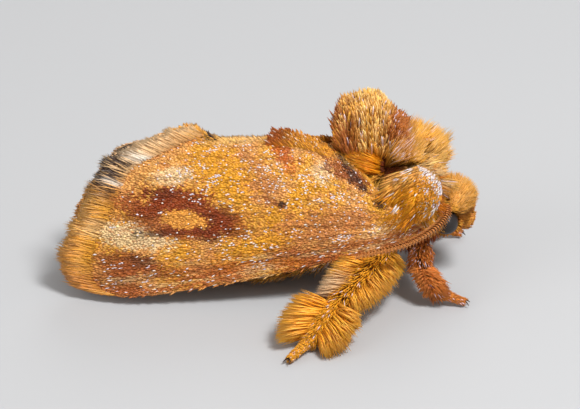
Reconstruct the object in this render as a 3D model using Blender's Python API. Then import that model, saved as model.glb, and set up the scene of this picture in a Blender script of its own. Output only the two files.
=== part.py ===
"""A spun glass slug moth at rest, life size, as a still model.

Shapes are worked out in millimetres about the point on the floor below the middle
of the thorax, with +X towards the head, +Z up and the animal's right side at -Y.
finish() turns them to metres and moves the origin to the middle of the floor area.
"""

import math

import bmesh
import bpy
import numpy as np
from mathutils import Matrix

# Frame
MM = 0.001
FORWARD_SHIFT = 4.2154
GAP = 0.2

# Thorax: stations along X of half width, half height and height of the middle
THORAX_STATIONS = [
    (-2.15, 0.40, 0.48, 2.42),
    (-1.85, 0.60, 0.84, 2.52),
    (-1.30, 0.88, 1.10, 2.58),
    (-0.70, 1.08, 1.24, 2.60),
    (-0.20, 1.14, 1.26, 2.58),
    (0.10, 1.02, 1.10, 2.50),
    (0.26, 0.84, 0.90, 2.40),
]
THORAX_SIDES = 18

# Locks of the thorax: rows along X, spread about the top, leaning away from a parting
COAT_ROWS = (-0.95, 0.02, 5)
COAT_SPREAD = (28.0, 5)
COAT_PARTING_X = -0.55
COAT_LENGTH = 0.80
COAT_LEAN = 0.9
COAT_BEND = 0.25
COAT_JITTER = 0.05
COAT_LENGTH_RANGE = (0.85, 1.08)
COAT_TURN_RANGE = (0.35, 1.1)
ROW_OFFSET = 0.06
COLLAR_X = 0.10
COLLAR_SPREAD = (62.0, 11)
COLLAR_LENGTH = 0.95
COLLAR_LEAN = (0.85, 0.80)
COLLAR_SIDE_SHORTER = 0.35
LOCK_WIDTH = 0.44
LOCK_DEPTH = 0.20
ROOT_SINK = 0.30
LOCK_RUN = (0.0, 0.42, 0.82, 1.0)
LOCK_SWELL = (0.7, 1.0)
LOCK_THINNING = (1.0, 0.9, 0.6)
NARROW_TIP = 0.7
BROAD_TIP = 0.85

# Crest: layers across Y of long blunt scales, fanned out along X up to a profile of x and z
CREST_ROOTS_X = (-1.95, -0.86)
CREST_PROFILE = [(-2.34, 4.72), (-2.10, 5.44), (-1.55, 5.66), (-1.08, 5.60), (-0.78, 5.12), (-0.48, 4.90)]
CREST_LAYERS = (-0.24, 0.0, 0.24)
CREST_OUTER_DROP = 0.14
CREST_SPREAD = 1.12
CREST_JITTER = 0.04
CREST_COUNT = 10
CREST_SCALE_WIDTH = 0.36
CREST_SCALE_DEPTH = 0.33

# Shoulder plates, the tegulae: round shells about the thorax axis
TEGULA_MIDDLE = (-0.02, 64.0)
TEGULA_HALF = (0.60, 26.0)
TEGULA_AXIS_HEIGHT = 2.58
TEGULA_INNER = (1.38, 1.46)
TEGULA_RIM = 0.10
TEGULA_DOME = 0.40
TEGULA_INNER_REACHES = (0.06, 0.4, 0.8, 1.0)
TEGULA_OUTER_REACHES = (1.0, 0.92, 0.7, 0.4, 0.06)
TEGULA_SIDES = 16

# Head
HEAD_CENTRE = (0.84, 0.0, 2.04)
HEAD_RADII = (0.46, 0.60, 0.54)
HEAD_BACK_X = 0.46
HEAD_SIDE_Y = 0.44
HEAD_SIDES = 16
HEAD_TILTS = (-52, 78, 9)
FRONS_ROWS = [(8.0, 40.0, 5), (32.0, 38.0, 5), (58.0, 30.0, 4), (84.0, 22.0, 3)]
FRONS_LENGTH = 0.40
FRONS_LOW_LIFT = 20.0
FRONS_LOW_SHARE = 0.6
FRONS_LOCK = (0.30, 0.18)
EYE_CENTRE = (0.74, 1.87)
EYE_RADIUS = 0.34
EYE_BULGE = 0.30
EYE_SIDES = 14
EYE_RISES = (0, 18, 36, 54, 70)

# Forewing: its edges as curves on the outer surface of the right wing
INNER_MARGIN = [
    (-1.05, -1.36, 3.20),
    (-1.60, -1.08, 3.66),
    (-2.30, -0.66, 4.06),
    (-3.10, -0.34, 4.27),
    (-4.50, -0.27, 4.30),
    (-5.60, -0.27, 4.30),
    (-6.40, -0.27, 4.72),
]
COSTA = [
    (0.22, -1.36, 2.04),
    (-0.72, -1.70, 1.74),
    (-1.80, -1.88, 1.50),
    (-3.60, -1.98, 1.07),
    (-6.10, -2.05, 0.60),
    (-7.60, -2.06, 0.38),
    (-8.60, -1.92, 0.30),
    (-9.30, -1.66, 0.30),
]
WING_BASE = [(-1.05, -1.36, 3.20), (-0.64, -1.56, 2.70), (0.22, -1.36, 2.04)]
TERMEN = [
    (-6.40, -0.27, 4.72),
    (-7.00, -0.29, 4.56),
    (-7.67, -0.34, 4.26),
    (-8.30, -0.42, 4.02),
    (-8.72, -0.48, 3.76),
    (-9.05, -0.66, 3.24),
    (-9.42, -0.90, 2.47),
    (-9.68, -1.04, 1.96),
    (-9.94, -1.17, 1.40),
    (-9.98, -1.27, 0.88),
    (-9.80, -1.42, 0.46),
    (-9.30, -1.66, 0.30),
]
WING_BULGE = 0.35
WING_BULGE_FADE = 0.7
WING_OUTWARDS = (0.0, -0.85, 0.53)
WING_THICKNESS = 0.50
WING_EDGE_THICKNESS = 0.16
WING_TAPER_SHARE = 0.14
WING_END_TAPER = 1.6
WING_MIDDLE_GAP = 0.12
LEFT_WING_SHIFT = 0.25
LEFT_WING_DROP = 0.28
DROP_STARTS = (0.12, 0.40)
RIDGE_TUFT_S = (0.32, 0.56, 7)
RIDGE_TUFT_LENGTHS = (0.36, 0.52)
RIDGE_TUFT_T = 0.035
RIDGE_TUFT_WAY = (-0.30, 0.36, 1.0)
RIDGE_TUFT_BEND = (-0.10, -0.45, 0.0)
RIDGE_TUFT_FLAT = (0.0, 0.85, -0.53)
RIDGE_TUFT_LOCK = (0.40, 0.13)
RIDGE_TUFT_SINK = 0.16
FOREWING_GRID = (16, 31)
VEIN_EVERY = 3
VEIN_HEIGHT = 0.07
VEIN_RISE_SHARE = 0.33
FRINGE_DEPTH = 0.30

# Hindwing: folded beneath the forewing, as a share of the forewing's own surface
HINDWING_SPAN = (0.26, 0.80)
HINDWING_WIDTH = (0.52, 0.78)
HINDWING_GRID = (9, 7)
HINDWING_TIP_SHARE = 0.12

# Abdomen: stations along X of half width, half height and height of the middle
ABDOMEN_STATIONS = [
    (-2.36, 0.36, 0.45, 2.20),
    (-2.80, 0.50, 0.60, 1.90),
    (-3.50, 0.56, 0.66, 1.56),
    (-4.40, 0.56, 0.66, 1.36),
    (-5.30, 0.50, 0.60, 1.24),
    (-6.10, 0.38, 0.46, 1.14),
    (-6.70, 0.20, 0.24, 1.10),
]
ABDOMEN_SIDES = 14
TAIL_TUFT_COUNT = 7
TAIL_TUFT_LENGTH = 0.75
TAIL_TUFT_LOCK = (0.40, 0.20)
TAIL_TUFT_ROOT_SHARE = 0.75
TAIL_TUFT_LEAN = 0.15

# Legs: the places of root, knee, ankle and toe on one side, with Y outwards
LEGS = {
    "foreleg": {
        "joints": [(0.06, 0.82, 1.34), (-0.02, 1.62, 1.12), (0.44, 1.90, 0.42), (1.17, 2.02, 0.20)],
        "radii": [0.28, 0.32, 0.25, 0.16],
    },
    "midleg": {
        "joints": [(-0.75, 0.88, 1.30), (-2.28, 3.40, 0.93), (-3.00, 4.35, 0.33), (-3.61, 5.20, 0.18)],
        "radii": [0.30, 0.27, 0.24, 0.15],
    },
    "hindleg": {
        "joints": [(-1.60, 0.50, 1.40), (-2.90, 0.72, 0.72), (-4.40, 0.72, 0.30), (-5.40, 0.72, 0.18)],
        "radii": [0.25, 0.24, 0.22, 0.15],
    },
}
LEG_TUFTS = {
    "foreleg_tibia": [((0.35, -0.35, 0.15), 0.55, 3), ((-0.40, -0.30, 0.10), 0.45, 3)],
    "midleg_femur": [((-0.80, 0.10, 0.25), 0.98, 7), ((0.74, -0.62, -0.30), 0.92, 7)],
    "midleg_tibia": [((-1.00, 0.10, 0.32), 1.20, 7), ((0.80, -0.62, -0.05), 1.05, 6)],
    "hindleg_femur": [((-0.60, 0.20, -0.50), 0.45, 3)],
    "hindleg_tibia": [((-0.80, 0.30, -0.05), 0.55, 4)],
}
LEG_LOCK = (0.40, 0.22)
LEG_LOCK_SPAN = (0.22, 0.80)
LEG_LOCK_ROOT = 0.12
LEG_LOCK_LEAN = 0.9
LEG_LOCK_BEND = 0.12
LEG_LOCK_SHORTEST = 0.72
LEG_SIDES = 8
SOLE_CUT = 0.12

# Antenna and palp of the right side
ANTENNA_PATH = [
    (0.76, -0.66, 2.46),
    (0.68, -1.16, 2.36),
    (0.26, -1.78, 2.26),
    (-0.55, -2.24, 2.04),
    (-1.80, -2.38, 1.78),
]
ANTENNA_RADII = (0.25, 0.10)
ANTENNA_SIDES = 8
ANTENNA_RINGS = 25
ANTENNA_COMB = 0.26
PALP_PATH = [(1.16, -0.24, 1.56), (1.34, -0.27, 1.60), (1.44, -0.27, 1.82)]
PALP_RADII = (0.25, 0.12)

COLOURS = {
    "fur": (0.72, 0.40, 0.12),
    "wing": (0.66, 0.34, 0.10),
    "hindwing": (0.55, 0.36, 0.20),
    "fore": (0.38, 0.15, 0.05),
    "leg": (0.80, 0.44, 0.08),
    "antenna": (0.62, 0.38, 0.16),
    "eye": (0.05, 0.05, 0.05),
}


def clear_scene():
    for obj in list(bpy.data.objects):
        bpy.data.objects.remove(obj)


def material(name):
    """A Principled material in the named colour."""
    made = bpy.data.materials.get(name)
    if made is None:
        made = bpy.data.materials.new(name)
        made.use_nodes = True
        shader = made.node_tree.nodes["Principled BSDF"]
        shader.inputs["Base Color"].default_value = (*COLOURS[name], 1.0)
        shader.inputs["Roughness"].default_value = 0.25 if name == "eye" else 0.7
    return made


def unit(v):
    v = np.asarray(v, float)
    return v / np.linalg.norm(v, axis=-1, keepdims=True)


def smooth_curve(points, shares):
    """Catmull-Rom curve through points, at the given shares of its length."""
    p = np.asarray(points, float)
    p = np.vstack([2 * p[0] - p[1], p, 2 * p[-1] - p[-2]])
    fine = []
    for a, b, c, d in zip(p, p[1:], p[2:], p[3:]):
        k = np.linspace(0, 1, 24, endpoint=False)[:, None]
        turn = (2 * a - 5 * b + 4 * c - d) * k**2 + (3 * b - 3 * c + d - a) * k**3
        fine.append(0.5 * (2 * b + (c - a) * k + turn))
    fine = np.vstack(fine + [p[-2:-1]])
    run = np.concatenate([[0], np.cumsum(np.linalg.norm(np.diff(fine, axis=0), axis=1))])
    at = np.asarray(shares, float) * run[-1]
    return np.stack([np.interp(at, run, fine[:, i]) for i in range(3)], axis=-1)


def mesh_object(name, points, faces):
    mesh = bpy.data.meshes.new(name)
    mesh.from_pydata([tuple(p) for p in points], [], faces)
    mesh.update()
    obj = bpy.data.objects.new(name, mesh)
    bpy.context.scene.collection.objects.link(obj)
    return obj


def loft(name, rings, tip=False):
    """Closed body through rings of equal counts, wound about the travel, with flat ends or a last point."""
    count = len(rings[0])
    points = [p for ring in rings for p in ring]
    faces = [tuple(reversed(range(count)))]
    for k in range(len(rings) - 1):
        for i in range(count):
            j = (i + 1) % count
            faces.append((k * count + i, k * count + j, (k + 1) * count + j, (k + 1) * count + i))
    last = (len(rings) - 1) * count
    if tip is not False:
        points.append(tip)
        faces += [(last + i, last + (i + 1) % count, len(points) - 1) for i in range(count)]
    else:
        faces.append(tuple(range(last, last + count)))
    return mesh_object(name, points, faces)


def body_rings(stations, sides, grow=0.0):
    """Upright elliptic rings of a body along -X to +X, wound about +X."""
    angles = np.linspace(0, 2 * math.pi, sides, endpoint=False)
    rings = []
    for x, wide, high, middle in sorted(stations):
        y = (wide + grow) * np.cos(angles)
        z = middle + (high + grow) * np.sin(angles)
        rings.append(np.stack([np.full(sides, x), y, z], axis=-1))
    return rings


def frames_along(path, first_up):
    """Tangent, side and up at each point of path, carried along without twist."""
    tangents = unit(np.gradient(path, axis=0))
    up = np.asarray(first_up, float)
    sides, ups = [], []
    for t in tangents:
        up = unit(up - t * (up @ t))
        ups.append(up)
        sides.append(np.cross(t, up))
    return tangents, np.array(sides), np.array(ups)


def tube_rings(path, wide, high, sides, first_up=(0, 0, 1), turn=0.0):
    """Elliptic rings across a path, wound about its direction, with half sizes wide and high."""
    _, side, up = frames_along(path, first_up)
    angles = np.linspace(0, 2 * math.pi, sides, endpoint=False) + turn
    across = -np.cos(angles)[None, :, None] * side[:, None, :] * np.asarray(wide, float)[:, None, None]
    upward = np.sin(angles)[None, :, None] * up[:, None, :] * np.asarray(high, float)[:, None, None]
    return path[:, None, :] + across + upward


def mirrored(points, side):
    """Points of the right side, or turned over to the left side."""
    return np.asarray(points, float) * np.array([1.0, side, 1.0])


def joined(base, pieces, solver="EXACT"):
    """Union of closed pieces with base, kept as one closed body."""
    group = bpy.data.collections.new("pieces")
    bpy.context.scene.collection.children.link(group)
    for piece in pieces:
        bpy.context.scene.collection.objects.unlink(piece)
        group.objects.link(piece)
    union = base.modifiers.new("union", "BOOLEAN")
    union.operation = "UNION"
    union.operand_type = "COLLECTION"
    union.collection = group
    union.solver = solver
    bpy.context.view_layer.update()
    depsgraph = bpy.context.evaluated_depsgraph_get()
    merged = bpy.data.meshes.new_from_object(base.evaluated_get(depsgraph))
    base.modifiers.clear()
    base.data = merged
    for piece in pieces:
        bpy.data.objects.remove(piece)
    bpy.data.collections.remove(group)
    keep_largest(base.data)
    return base


def keep_largest(mesh):
    """Drops every closed surface but the largest one."""
    form = bmesh.new()
    form.from_mesh(mesh)
    left = set(form.verts)
    shells = []
    while left:
        stack = [left.pop()]
        shell = set(stack)
        while stack:
            for edge in stack.pop().link_edges:
                for vert in edge.verts:
                    if vert in left:
                        left.remove(vert)
                        shell.add(vert)
                        stack.append(vert)
        shells.append(shell)
    largest = max(shells, key=len)
    bmesh.ops.delete(form, geom=[v for v in form.verts if v not in largest])
    form.to_mesh(mesh)
    form.free()


def flip_faces(obj):
    obj.data.flip_normals()


def finish(obj, name, colour):
    """Names a node, scales it to metres and moves it from the thorax to the frame's origin."""
    obj.name = name
    obj.data.name = name
    obj.data.transform(Matrix.Scale(MM, 4) @ Matrix.Translation((FORWARD_SHIFT, 0, 0)))
    obj.data.materials.clear()
    obj.data.materials.append(material(colour))
    obj.data.shade_smooth()
    obj.data.set_sharp_from_angle(angle=math.radians(40))
    return obj


# Forewing surface


def wing_point(s, t):
    """Outer surface of the right forewing: a Coons patch between its four edges, bulged outwards.
    s runs from the base to the outer margin and t from the inner margin to the costa."""
    s, t = np.broadcast_arrays(np.asarray(s, float), np.asarray(t, float))
    flat_s, flat_t = s.ravel(), t.ravel()
    inner, costa = smooth_curve(INNER_MARGIN, flat_s), smooth_curve(COSTA, flat_s)
    base, outer = smooth_curve(WING_BASE, flat_t), smooth_curve(TERMEN, flat_t)
    a, b = flat_s[:, None], flat_t[:, None]
    corners = (
        (1 - a) * (1 - b) * np.array(INNER_MARGIN[0])
        + (1 - a) * b * np.array(COSTA[0])
        + a * (1 - b) * np.array(TERMEN[0])
        + a * b * np.array(TERMEN[-1])
    )
    patch = (1 - b) * inner + b * costa + (1 - a) * base + a * outer - corners
    outwards = unit(WING_OUTWARDS)
    rise = WING_BULGE * 4 * b * (1 - b) * (1 - WING_BULGE_FADE * a**3)
    return (patch + rise * outwards).reshape(s.shape + (3,))


def wing_normal(s, t):
    step = 1e-3
    along = wing_point(np.clip(s + step, 0, 1), t) - wing_point(np.clip(s - step, 0, 1), t)
    across = wing_point(s, np.clip(t + step, 0, 1)) - wing_point(s, np.clip(t - step, 0, 1))
    return unit(np.cross(along, across))


def plate(name, outer, inner):
    """Closed plate between two grids of equal size, its quads split the same way on both faces."""
    rows, columns = outer.shape[:2]
    points = np.vstack([outer.reshape(-1, 3), inner.reshape(-1, 3)])
    below = rows * columns
    faces = []
    for r in range(rows - 1):
        for c in range(columns - 1):
            a, b = r * columns + c, r * columns + c + 1
            d, e = a + columns, b + columns
            faces += [(a, d, e), (a, e, b)]
            faces += [(below + a, below + e, below + d), (below + a, below + b, below + e)]
    rim = [c for c in range(columns)]
    rim += [r * columns + columns - 1 for r in range(1, rows)]
    rim += [(rows - 1) * columns + c for c in range(columns - 2, -1, -1)]
    rim += [r * columns for r in range(rows - 2, 0, -1)]
    for a, b in zip(rim, rim[1:] + rim[:1]):
        faces += [(a, b, below + b), (a, below + b, below + a)]
    return mesh_object(name, points, faces)


def left_wing_move(s, t):
    """The left wing is held a little further forward, with its inner margin just under the right one's."""
    start, full = DROP_STARTS
    share = np.clip((s - start) / (full - start), 0, 1)
    drop = LEFT_WING_DROP * share * (1 - t) ** 1.5
    return np.stack([LEFT_WING_SHIFT * s, np.zeros_like(s), -drop], axis=-1)


def placed_wing(outer, inner, s, t, side):
    """Both faces of a wing on its own side."""
    move = left_wing_move(s, t) if side < 0 else 0
    return mirrored(outer, side) + move, mirrored(inner, side) + move


def forewing(side):
    rows, columns = FOREWING_GRID
    s, t = np.meshgrid(np.linspace(0, 1, rows), np.linspace(0, 1, columns), indexing="ij")
    outer = wing_point(s, t)
    normal = wing_normal(s, t)
    edge = np.minimum(np.minimum(t, 1 - t), np.minimum(s, 1 - s) * WING_END_TAPER)
    share = np.clip(edge / WING_TAPER_SHARE, 0, 1)
    thickness = WING_EDGE_THICKNESS + (WING_THICKNESS - WING_EDGE_THICKNESS) * share * (2 - share)
    room = (-outer[..., 1] - WING_MIDDLE_GAP) / np.maximum(-normal[..., 1], 0.3)
    inner = outer - normal * np.minimum(thickness, room)[..., None]
    column = np.arange(columns)
    vein = (column % VEIN_EVERY == VEIN_EVERY - 1) & (column < columns - 1)
    rise = VEIN_HEIGHT * np.clip(s / VEIN_RISE_SHARE, 0, 1) * (s < 1)
    outer = outer + normal * (vein[None, :] * rise)[..., None]
    # The fringe: every second column of the outer margin is drawn back from its tips.
    back = unit(wing_point(0.9, t[-1]) - wing_point(1.0, t[-1])) * FRINGE_DEPTH
    notch = ((column % 2 == 1) & (column < columns - 1))[:, None]
    outer[-1] += back * notch
    inner[-1] += back * notch
    outer, inner = placed_wing(outer, inner, s, t, side)
    obj = plate("forewing", outer, inner)
    if side < 0:
        flip_faces(obj)
    return joined(obj, ridge_tuft(side))


def ridge_tuft(side):
    """Tuft of scales that stands up from the inner margin."""
    made = []
    start, end, count = RIDGE_TUFT_S
    for k, length in zip(np.linspace(start, end, count), np.linspace(*RIDGE_TUFT_LENGTHS, count)):
        place = mirrored(wing_point(k, RIDGE_TUFT_T), side)
        if side < 0:
            place = place + left_wing_move(np.array(k), np.array(RIDGE_TUFT_T))
        way, bend, flat = (mirrored(v, side) for v in (RIDGE_TUFT_WAY, RIDGE_TUFT_BEND, RIDGE_TUFT_FLAT))
        made.append(lock(place, way, bend, length, *RIDGE_TUFT_LOCK, flat, BROAD_TIP, sink=RIDGE_TUFT_SINK))
    return made


def hindwing(side):
    rows, columns = HINDWING_GRID
    lengths, widths = np.linspace(*HINDWING_SPAN, rows), np.linspace(*HINDWING_WIDTH, columns)
    s, t = np.meshgrid(lengths, widths, indexing="ij")
    # The tip is rounded: the outer rows narrow towards the middle of the plate.
    run = np.linspace(0, 1, rows)[:, None]
    middle = sum(HINDWING_WIDTH) / 2
    t = middle + (t - middle) * np.sqrt(np.clip(1 - run**4, HINDWING_TIP_SHARE, 1))
    lift = WING_THICKNESS + GAP
    outer = wing_point(s, t) - wing_normal(s, t) * lift
    inner = outer - wing_normal(s, t) * WING_THICKNESS
    outer, inner = placed_wing(outer, inner, s, t, side)
    obj = plate("hindwing", outer, inner)
    if side < 0:
        flip_faces(obj)
    return obj


# Body


def lock(root, way, bend, length, width, depth, flat, blunt=NARROW_TIP, sink=ROOT_SINK):
    """Flat tapered lock: its middle line runs along way, bends by bend times the run squared,
    and its width swells a little before it closes to the tip. flat is its thin direction."""
    run = np.array(LOCK_RUN)
    way = unit(way)
    start = np.asarray(root, float) - way * sink
    path = start + (length + sink) * (way * run[:, None] + np.asarray(bend, float) * run[:, None] ** 2)
    wide = width / 2 * np.array([*LOCK_SWELL, blunt])
    high = depth / 2 * np.array(LOCK_THINNING)
    rings = tube_rings(path, np.append(wide, 0), np.append(high, 0), 4, first_up=flat)
    return loft("lock", list(rings[:3]), tip=tuple(path[-1]))


def thorax_place(x, angle):
    """Surface point of the thorax at x and at an angle from the top, and the direction outwards."""
    stations = np.array(THORAX_STATIONS)
    wide, high, middle = (np.interp(x, stations[:, 0], stations[:, k]) for k in (1, 2, 3))
    out = np.array([0.0, math.sin(angle) / wide, math.cos(angle) / high])
    place = np.array([x, wide * math.sin(angle), middle + high * math.cos(angle)])
    return place, unit(out)


def coat_locks(rng):
    made = []
    for row, x in enumerate(np.linspace(*COAT_ROWS)):
        for angle in np.radians(np.linspace(-COAT_SPREAD[0], COAT_SPREAD[0], COAT_SPREAD[1])):
            shift = rng.uniform(-COAT_JITTER, COAT_JITTER)
            place, out = thorax_place(x + shift, angle + ROW_OFFSET * (row % 2))
            way = out + np.array([COAT_LEAN * (x - COAT_PARTING_X), 0, 0])
            bend = (COAT_BEND * (x - COAT_PARTING_X), 0, 0)
            length = COAT_LENGTH * rng.uniform(*COAT_LENGTH_RANGE)
            turn = rng.uniform(*COAT_TURN_RANGE) * (-1) ** row
            flat = (math.cos(turn), math.sin(turn), 0.2)
            made.append(lock(place, way, bend, length, LOCK_WIDTH, LOCK_DEPTH, flat))
    for angle in np.radians(np.linspace(-COLLAR_SPREAD[0], COLLAR_SPREAD[0], COLLAR_SPREAD[1])):
        place, out = thorax_place(COLLAR_X, angle)
        way = out * COLLAR_LEAN[0] + np.array([COLLAR_LEAN[1], 0, 0])
        length = COLLAR_LENGTH * (1 - COLLAR_SIDE_SHORTER * abs(math.sin(angle))) * rng.uniform(0.9, 1.05)
        made.append(lock(place, way, (0.1, 0, -0.05), length, LOCK_WIDTH, LOCK_DEPTH, out))
    return made


def crest_locks(rng):
    made = []
    profile = np.array(CREST_PROFILE)
    for layer, y in enumerate(CREST_LAYERS):
        for k in np.linspace(0, 1, CREST_COUNT):
            root_x = CREST_ROOTS_X[0] + (CREST_ROOTS_X[1] - CREST_ROOTS_X[0]) * k
            tip_x = profile[0, 0] + (profile[-1, 0] - profile[0, 0]) * k
            tip_z = np.interp(tip_x, profile[:, 0], profile[:, 1]) - CREST_OUTER_DROP * (layer != 1)
            tip = np.array([tip_x + rng.uniform(-CREST_JITTER, CREST_JITTER), y * CREST_SPREAD, tip_z])
            place, _ = thorax_place(root_x, 0.0)
            place[1] = y
            reach = tip - place
            length = np.linalg.norm(reach)
            size = (length, CREST_SCALE_WIDTH, CREST_SCALE_DEPTH)
            made.append(lock(place, reach, (-0.05, 0, 0), *size, (0, 1, 0), 0.9))
    return made


def thorax():
    """The core, its coat and the crest joined into one closed body."""
    rng = np.random.default_rng(7)
    core = loft("thorax", body_rings(THORAX_STATIONS, THORAX_SIDES))
    return joined(core, coat_locks(rng) + crest_locks(rng))


def abdomen():
    """The abdomen with the ring of locks round its tail end."""
    core = loft("abdomen", body_rings(ABDOMEN_STATIONS, ABDOMEN_SIDES))
    x, wide, high, middle = ABDOMEN_STATIONS[-2]
    rng = np.random.default_rng(3)
    made = []
    for angle in np.linspace(0, 2 * math.pi, TAIL_TUFT_COUNT, endpoint=False):
        out = np.array([0.0, math.sin(angle), math.cos(angle)])
        place = np.array([x, 0.0, middle]) + out * np.array([0, wide, high]) * TAIL_TUFT_ROOT_SHARE
        length = TAIL_TUFT_LENGTH * rng.uniform(0.9, 1.1)
        way = out * TAIL_TUFT_LEAN + np.array([-1.0, 0, 0])
        made.append(lock(place, way, (0, 0, -0.1), length, *TAIL_TUFT_LOCK, out))
    return joined(core, made)


def tegula(side):
    """Round shell over the shoulder: rings about its middle, measured along X and round the thorax."""
    angles = np.linspace(0, 2 * math.pi, TEGULA_SIDES, endpoint=False)
    tall = TEGULA_INNER[1] / TEGULA_INNER[0]

    def ring(reach, radius):
        x = TEGULA_MIDDLE[0] + TEGULA_HALF[0] * reach * np.cos(angles)
        turn = np.radians(TEGULA_MIDDLE[1] + TEGULA_HALF[1] * reach * np.sin(angles))
        y = -radius * np.sin(turn)
        z = TEGULA_AXIS_HEIGHT + radius * tall * np.cos(turn)
        return mirrored(np.stack([x, y, z], axis=-1), side)

    def dome(reach):
        return TEGULA_INNER[0] + TEGULA_RIM + TEGULA_DOME * math.sqrt(1 - reach * reach)

    inner = [ring(reach, TEGULA_INNER[0]) for reach in TEGULA_INNER_REACHES]
    outer = [ring(reach, dome(reach)) for reach in TEGULA_OUTER_REACHES]
    obj = loft("tegula", inner + outer)
    if side > 0:
        flip_faces(obj)
    return obj


def head():
    def cut(ring):
        ring[:, 0] = np.maximum(ring[:, 0], HEAD_BACK_X)
        ring[:, 1] = np.clip(ring[:, 1], -HEAD_SIDE_Y, HEAD_SIDE_Y)
        return ring

    angles = np.linspace(0, 2 * math.pi, HEAD_SIDES, endpoint=False)
    rings = []
    for a in np.radians(np.linspace(*HEAD_TILTS)):
        x = np.full(HEAD_SIDES, math.sin(a))
        ring = np.stack([x, math.cos(a) * np.cos(angles), math.cos(a) * np.sin(angles)], axis=-1)
        rings.append(cut(ring * np.array(HEAD_RADII) + np.array(HEAD_CENTRE)))
    rings[0][:, 0] = HEAD_BACK_X
    core = loft("head", rings)
    rng = np.random.default_rng(11)
    made = []
    for lift, spread, count in FRONS_ROWS:
        for turn in np.radians(np.linspace(-spread, spread, count)):
            rise = math.radians(lift)
            level, up = math.cos(rise), math.sin(rise)
            way = np.array([level * math.cos(turn), math.sin(turn), up * math.cos(turn)])
            place = np.array(HEAD_CENTRE) + way * np.array(HEAD_RADII) * 0.96
            length = FRONS_LENGTH * rng.uniform(0.85, 1.08)
            if lift < FRONS_LOW_LIFT:
                length *= FRONS_LOW_SHARE
            flat = (-up, 0, level)
            made.append(lock(place, way, (0, 0, 0.12), length, *FRONS_LOCK, flat, 0.8))
    return joined(core, made)


def eye(side):
    """Dome on the flat side of the head, its base parallel to that side."""
    base = HEAD_SIDE_Y + GAP * 0.75
    angles = np.linspace(0, 2 * math.pi, EYE_SIDES, endpoint=False)
    rings = []
    for a in np.radians(EYE_RISES):
        r = EYE_RADIUS * math.cos(a)
        y = base + EYE_BULGE * math.sin(a)
        x = EYE_CENTRE[0] + r * np.cos(angles)
        z = EYE_CENTRE[1] + r * np.sin(angles)
        rings.append(np.stack([x, np.full(EYE_SIDES, -y), z], axis=-1))
    top = (EYE_CENTRE[0], -(base + EYE_BULGE), EYE_CENTRE[1])
    obj = loft("eye", [mirrored(r, side) for r in rings], tip=tuple(mirrored(top, side)))
    if side < 0:
        flip_faces(obj)
    return obj


def palp(side):
    path = smooth_curve(mirrored(PALP_PATH, side), np.linspace(0, 1, 5))
    radius = np.linspace(*PALP_RADII, 5)
    return loft("palp", tube_rings(path, radius, radius, 8))


def antenna(side):
    """Feeler whose every second ring is drawn in, which leaves the teeth of its comb."""
    shares = np.linspace(0, 1, ANTENNA_RINGS)
    path = smooth_curve(mirrored(ANTENNA_PATH, side), shares)
    radius = ANTENNA_RADII[0] + (ANTENNA_RADII[1] - ANTENNA_RADII[0]) * shares**2
    radius[1:-1:2] *= 1 - ANTENNA_COMB
    return loft("antenna", tube_rings(path, radius, radius * 0.9, ANTENNA_SIDES))


# Legs


def limb(name, start, end, radii, start_plane, end_plane, steps=4):
    """Tapered tube from start to end whose end rings lie in the two given planes (point, normal)."""
    path = start + (end - start) * np.linspace(0, 1, steps)[:, None]
    radius = np.linspace(*radii, steps)
    rings = tube_rings(path, radius, radius, LEG_SIDES, turn=math.pi / LEG_SIDES)
    along = unit(end - start)
    for k, (point, normal) in ((0, start_plane), (-1, end_plane)):
        shift = ((point - rings[k]) @ normal) / (along @ normal)
        rings[k] = rings[k] + shift[:, None] * along
    rings[..., 2] = np.where(rings[..., 2] < SOLE_CUT, 0.0, rings[..., 2])
    return loft(name, rings)


def leg_planes(joints):
    """For each of the three lengths, the planes of its two ends, half a gap off each mitred joint."""
    ways = [unit(b - a) for a, b in zip(joints, joints[1:])]
    planes = []
    for k in range(3):
        first = ways[0] if k == 0 else unit(ways[k - 1] + ways[k])
        last = ways[2] if k == 2 else unit(ways[k] + ways[k + 1])
        planes.append(
            (
                (joints[k] + first * (0 if k == 0 else GAP / 2), first),
                (joints[k + 1] - last * (0 if k == 2 else GAP / 2), last),
            )
        )
    return planes


def leg(kind, side):
    """The femur, tibia and tarsus of one leg."""
    joints = mirrored([(x, -y, z) for x, y, z in LEGS[kind]["joints"]], side)
    radii = LEGS[kind]["radii"]
    planes = leg_planes(joints)
    made = {}
    for k, part in enumerate(("femur", "tibia", "tarsus")):
        made[part] = limb(part, joints[k], joints[k + 1], (radii[k], radii[k + 1]), *planes[k])
        tufts = LEG_TUFTS.get(f"{kind}_{part}")
        if tufts:
            joined(made[part], leg_locks(joints[k], joints[k + 1], tufts, side))
    return made


def leg_locks(start, end, tufts, side):
    """Combs of locks along a leg's length, each comb leaning its own way and down the leg."""
    rng = np.random.default_rng(5)
    along = unit(end - start)
    made = []
    for way, length, count in tufts:
        way = mirrored(way, side)
        for k in np.linspace(*LEG_LOCK_SPAN, count):
            place = start + (end - start) * k + unit(way) * LEG_LOCK_ROOT
            lean = unit(way) + along * (k - 0.4) * LEG_LOCK_LEAN
            arch = LEG_LOCK_SHORTEST + (1 - LEG_LOCK_SHORTEST) * math.sin(math.pi * k)
            reach = length * arch * rng.uniform(0.92, 1.06)
            flat = np.cross(unit(way), along)
            made.append(lock(place, lean, along * LEG_LOCK_BEND, reach, *LEG_LOCK, flat, BROAD_TIP))
    return made


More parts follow.
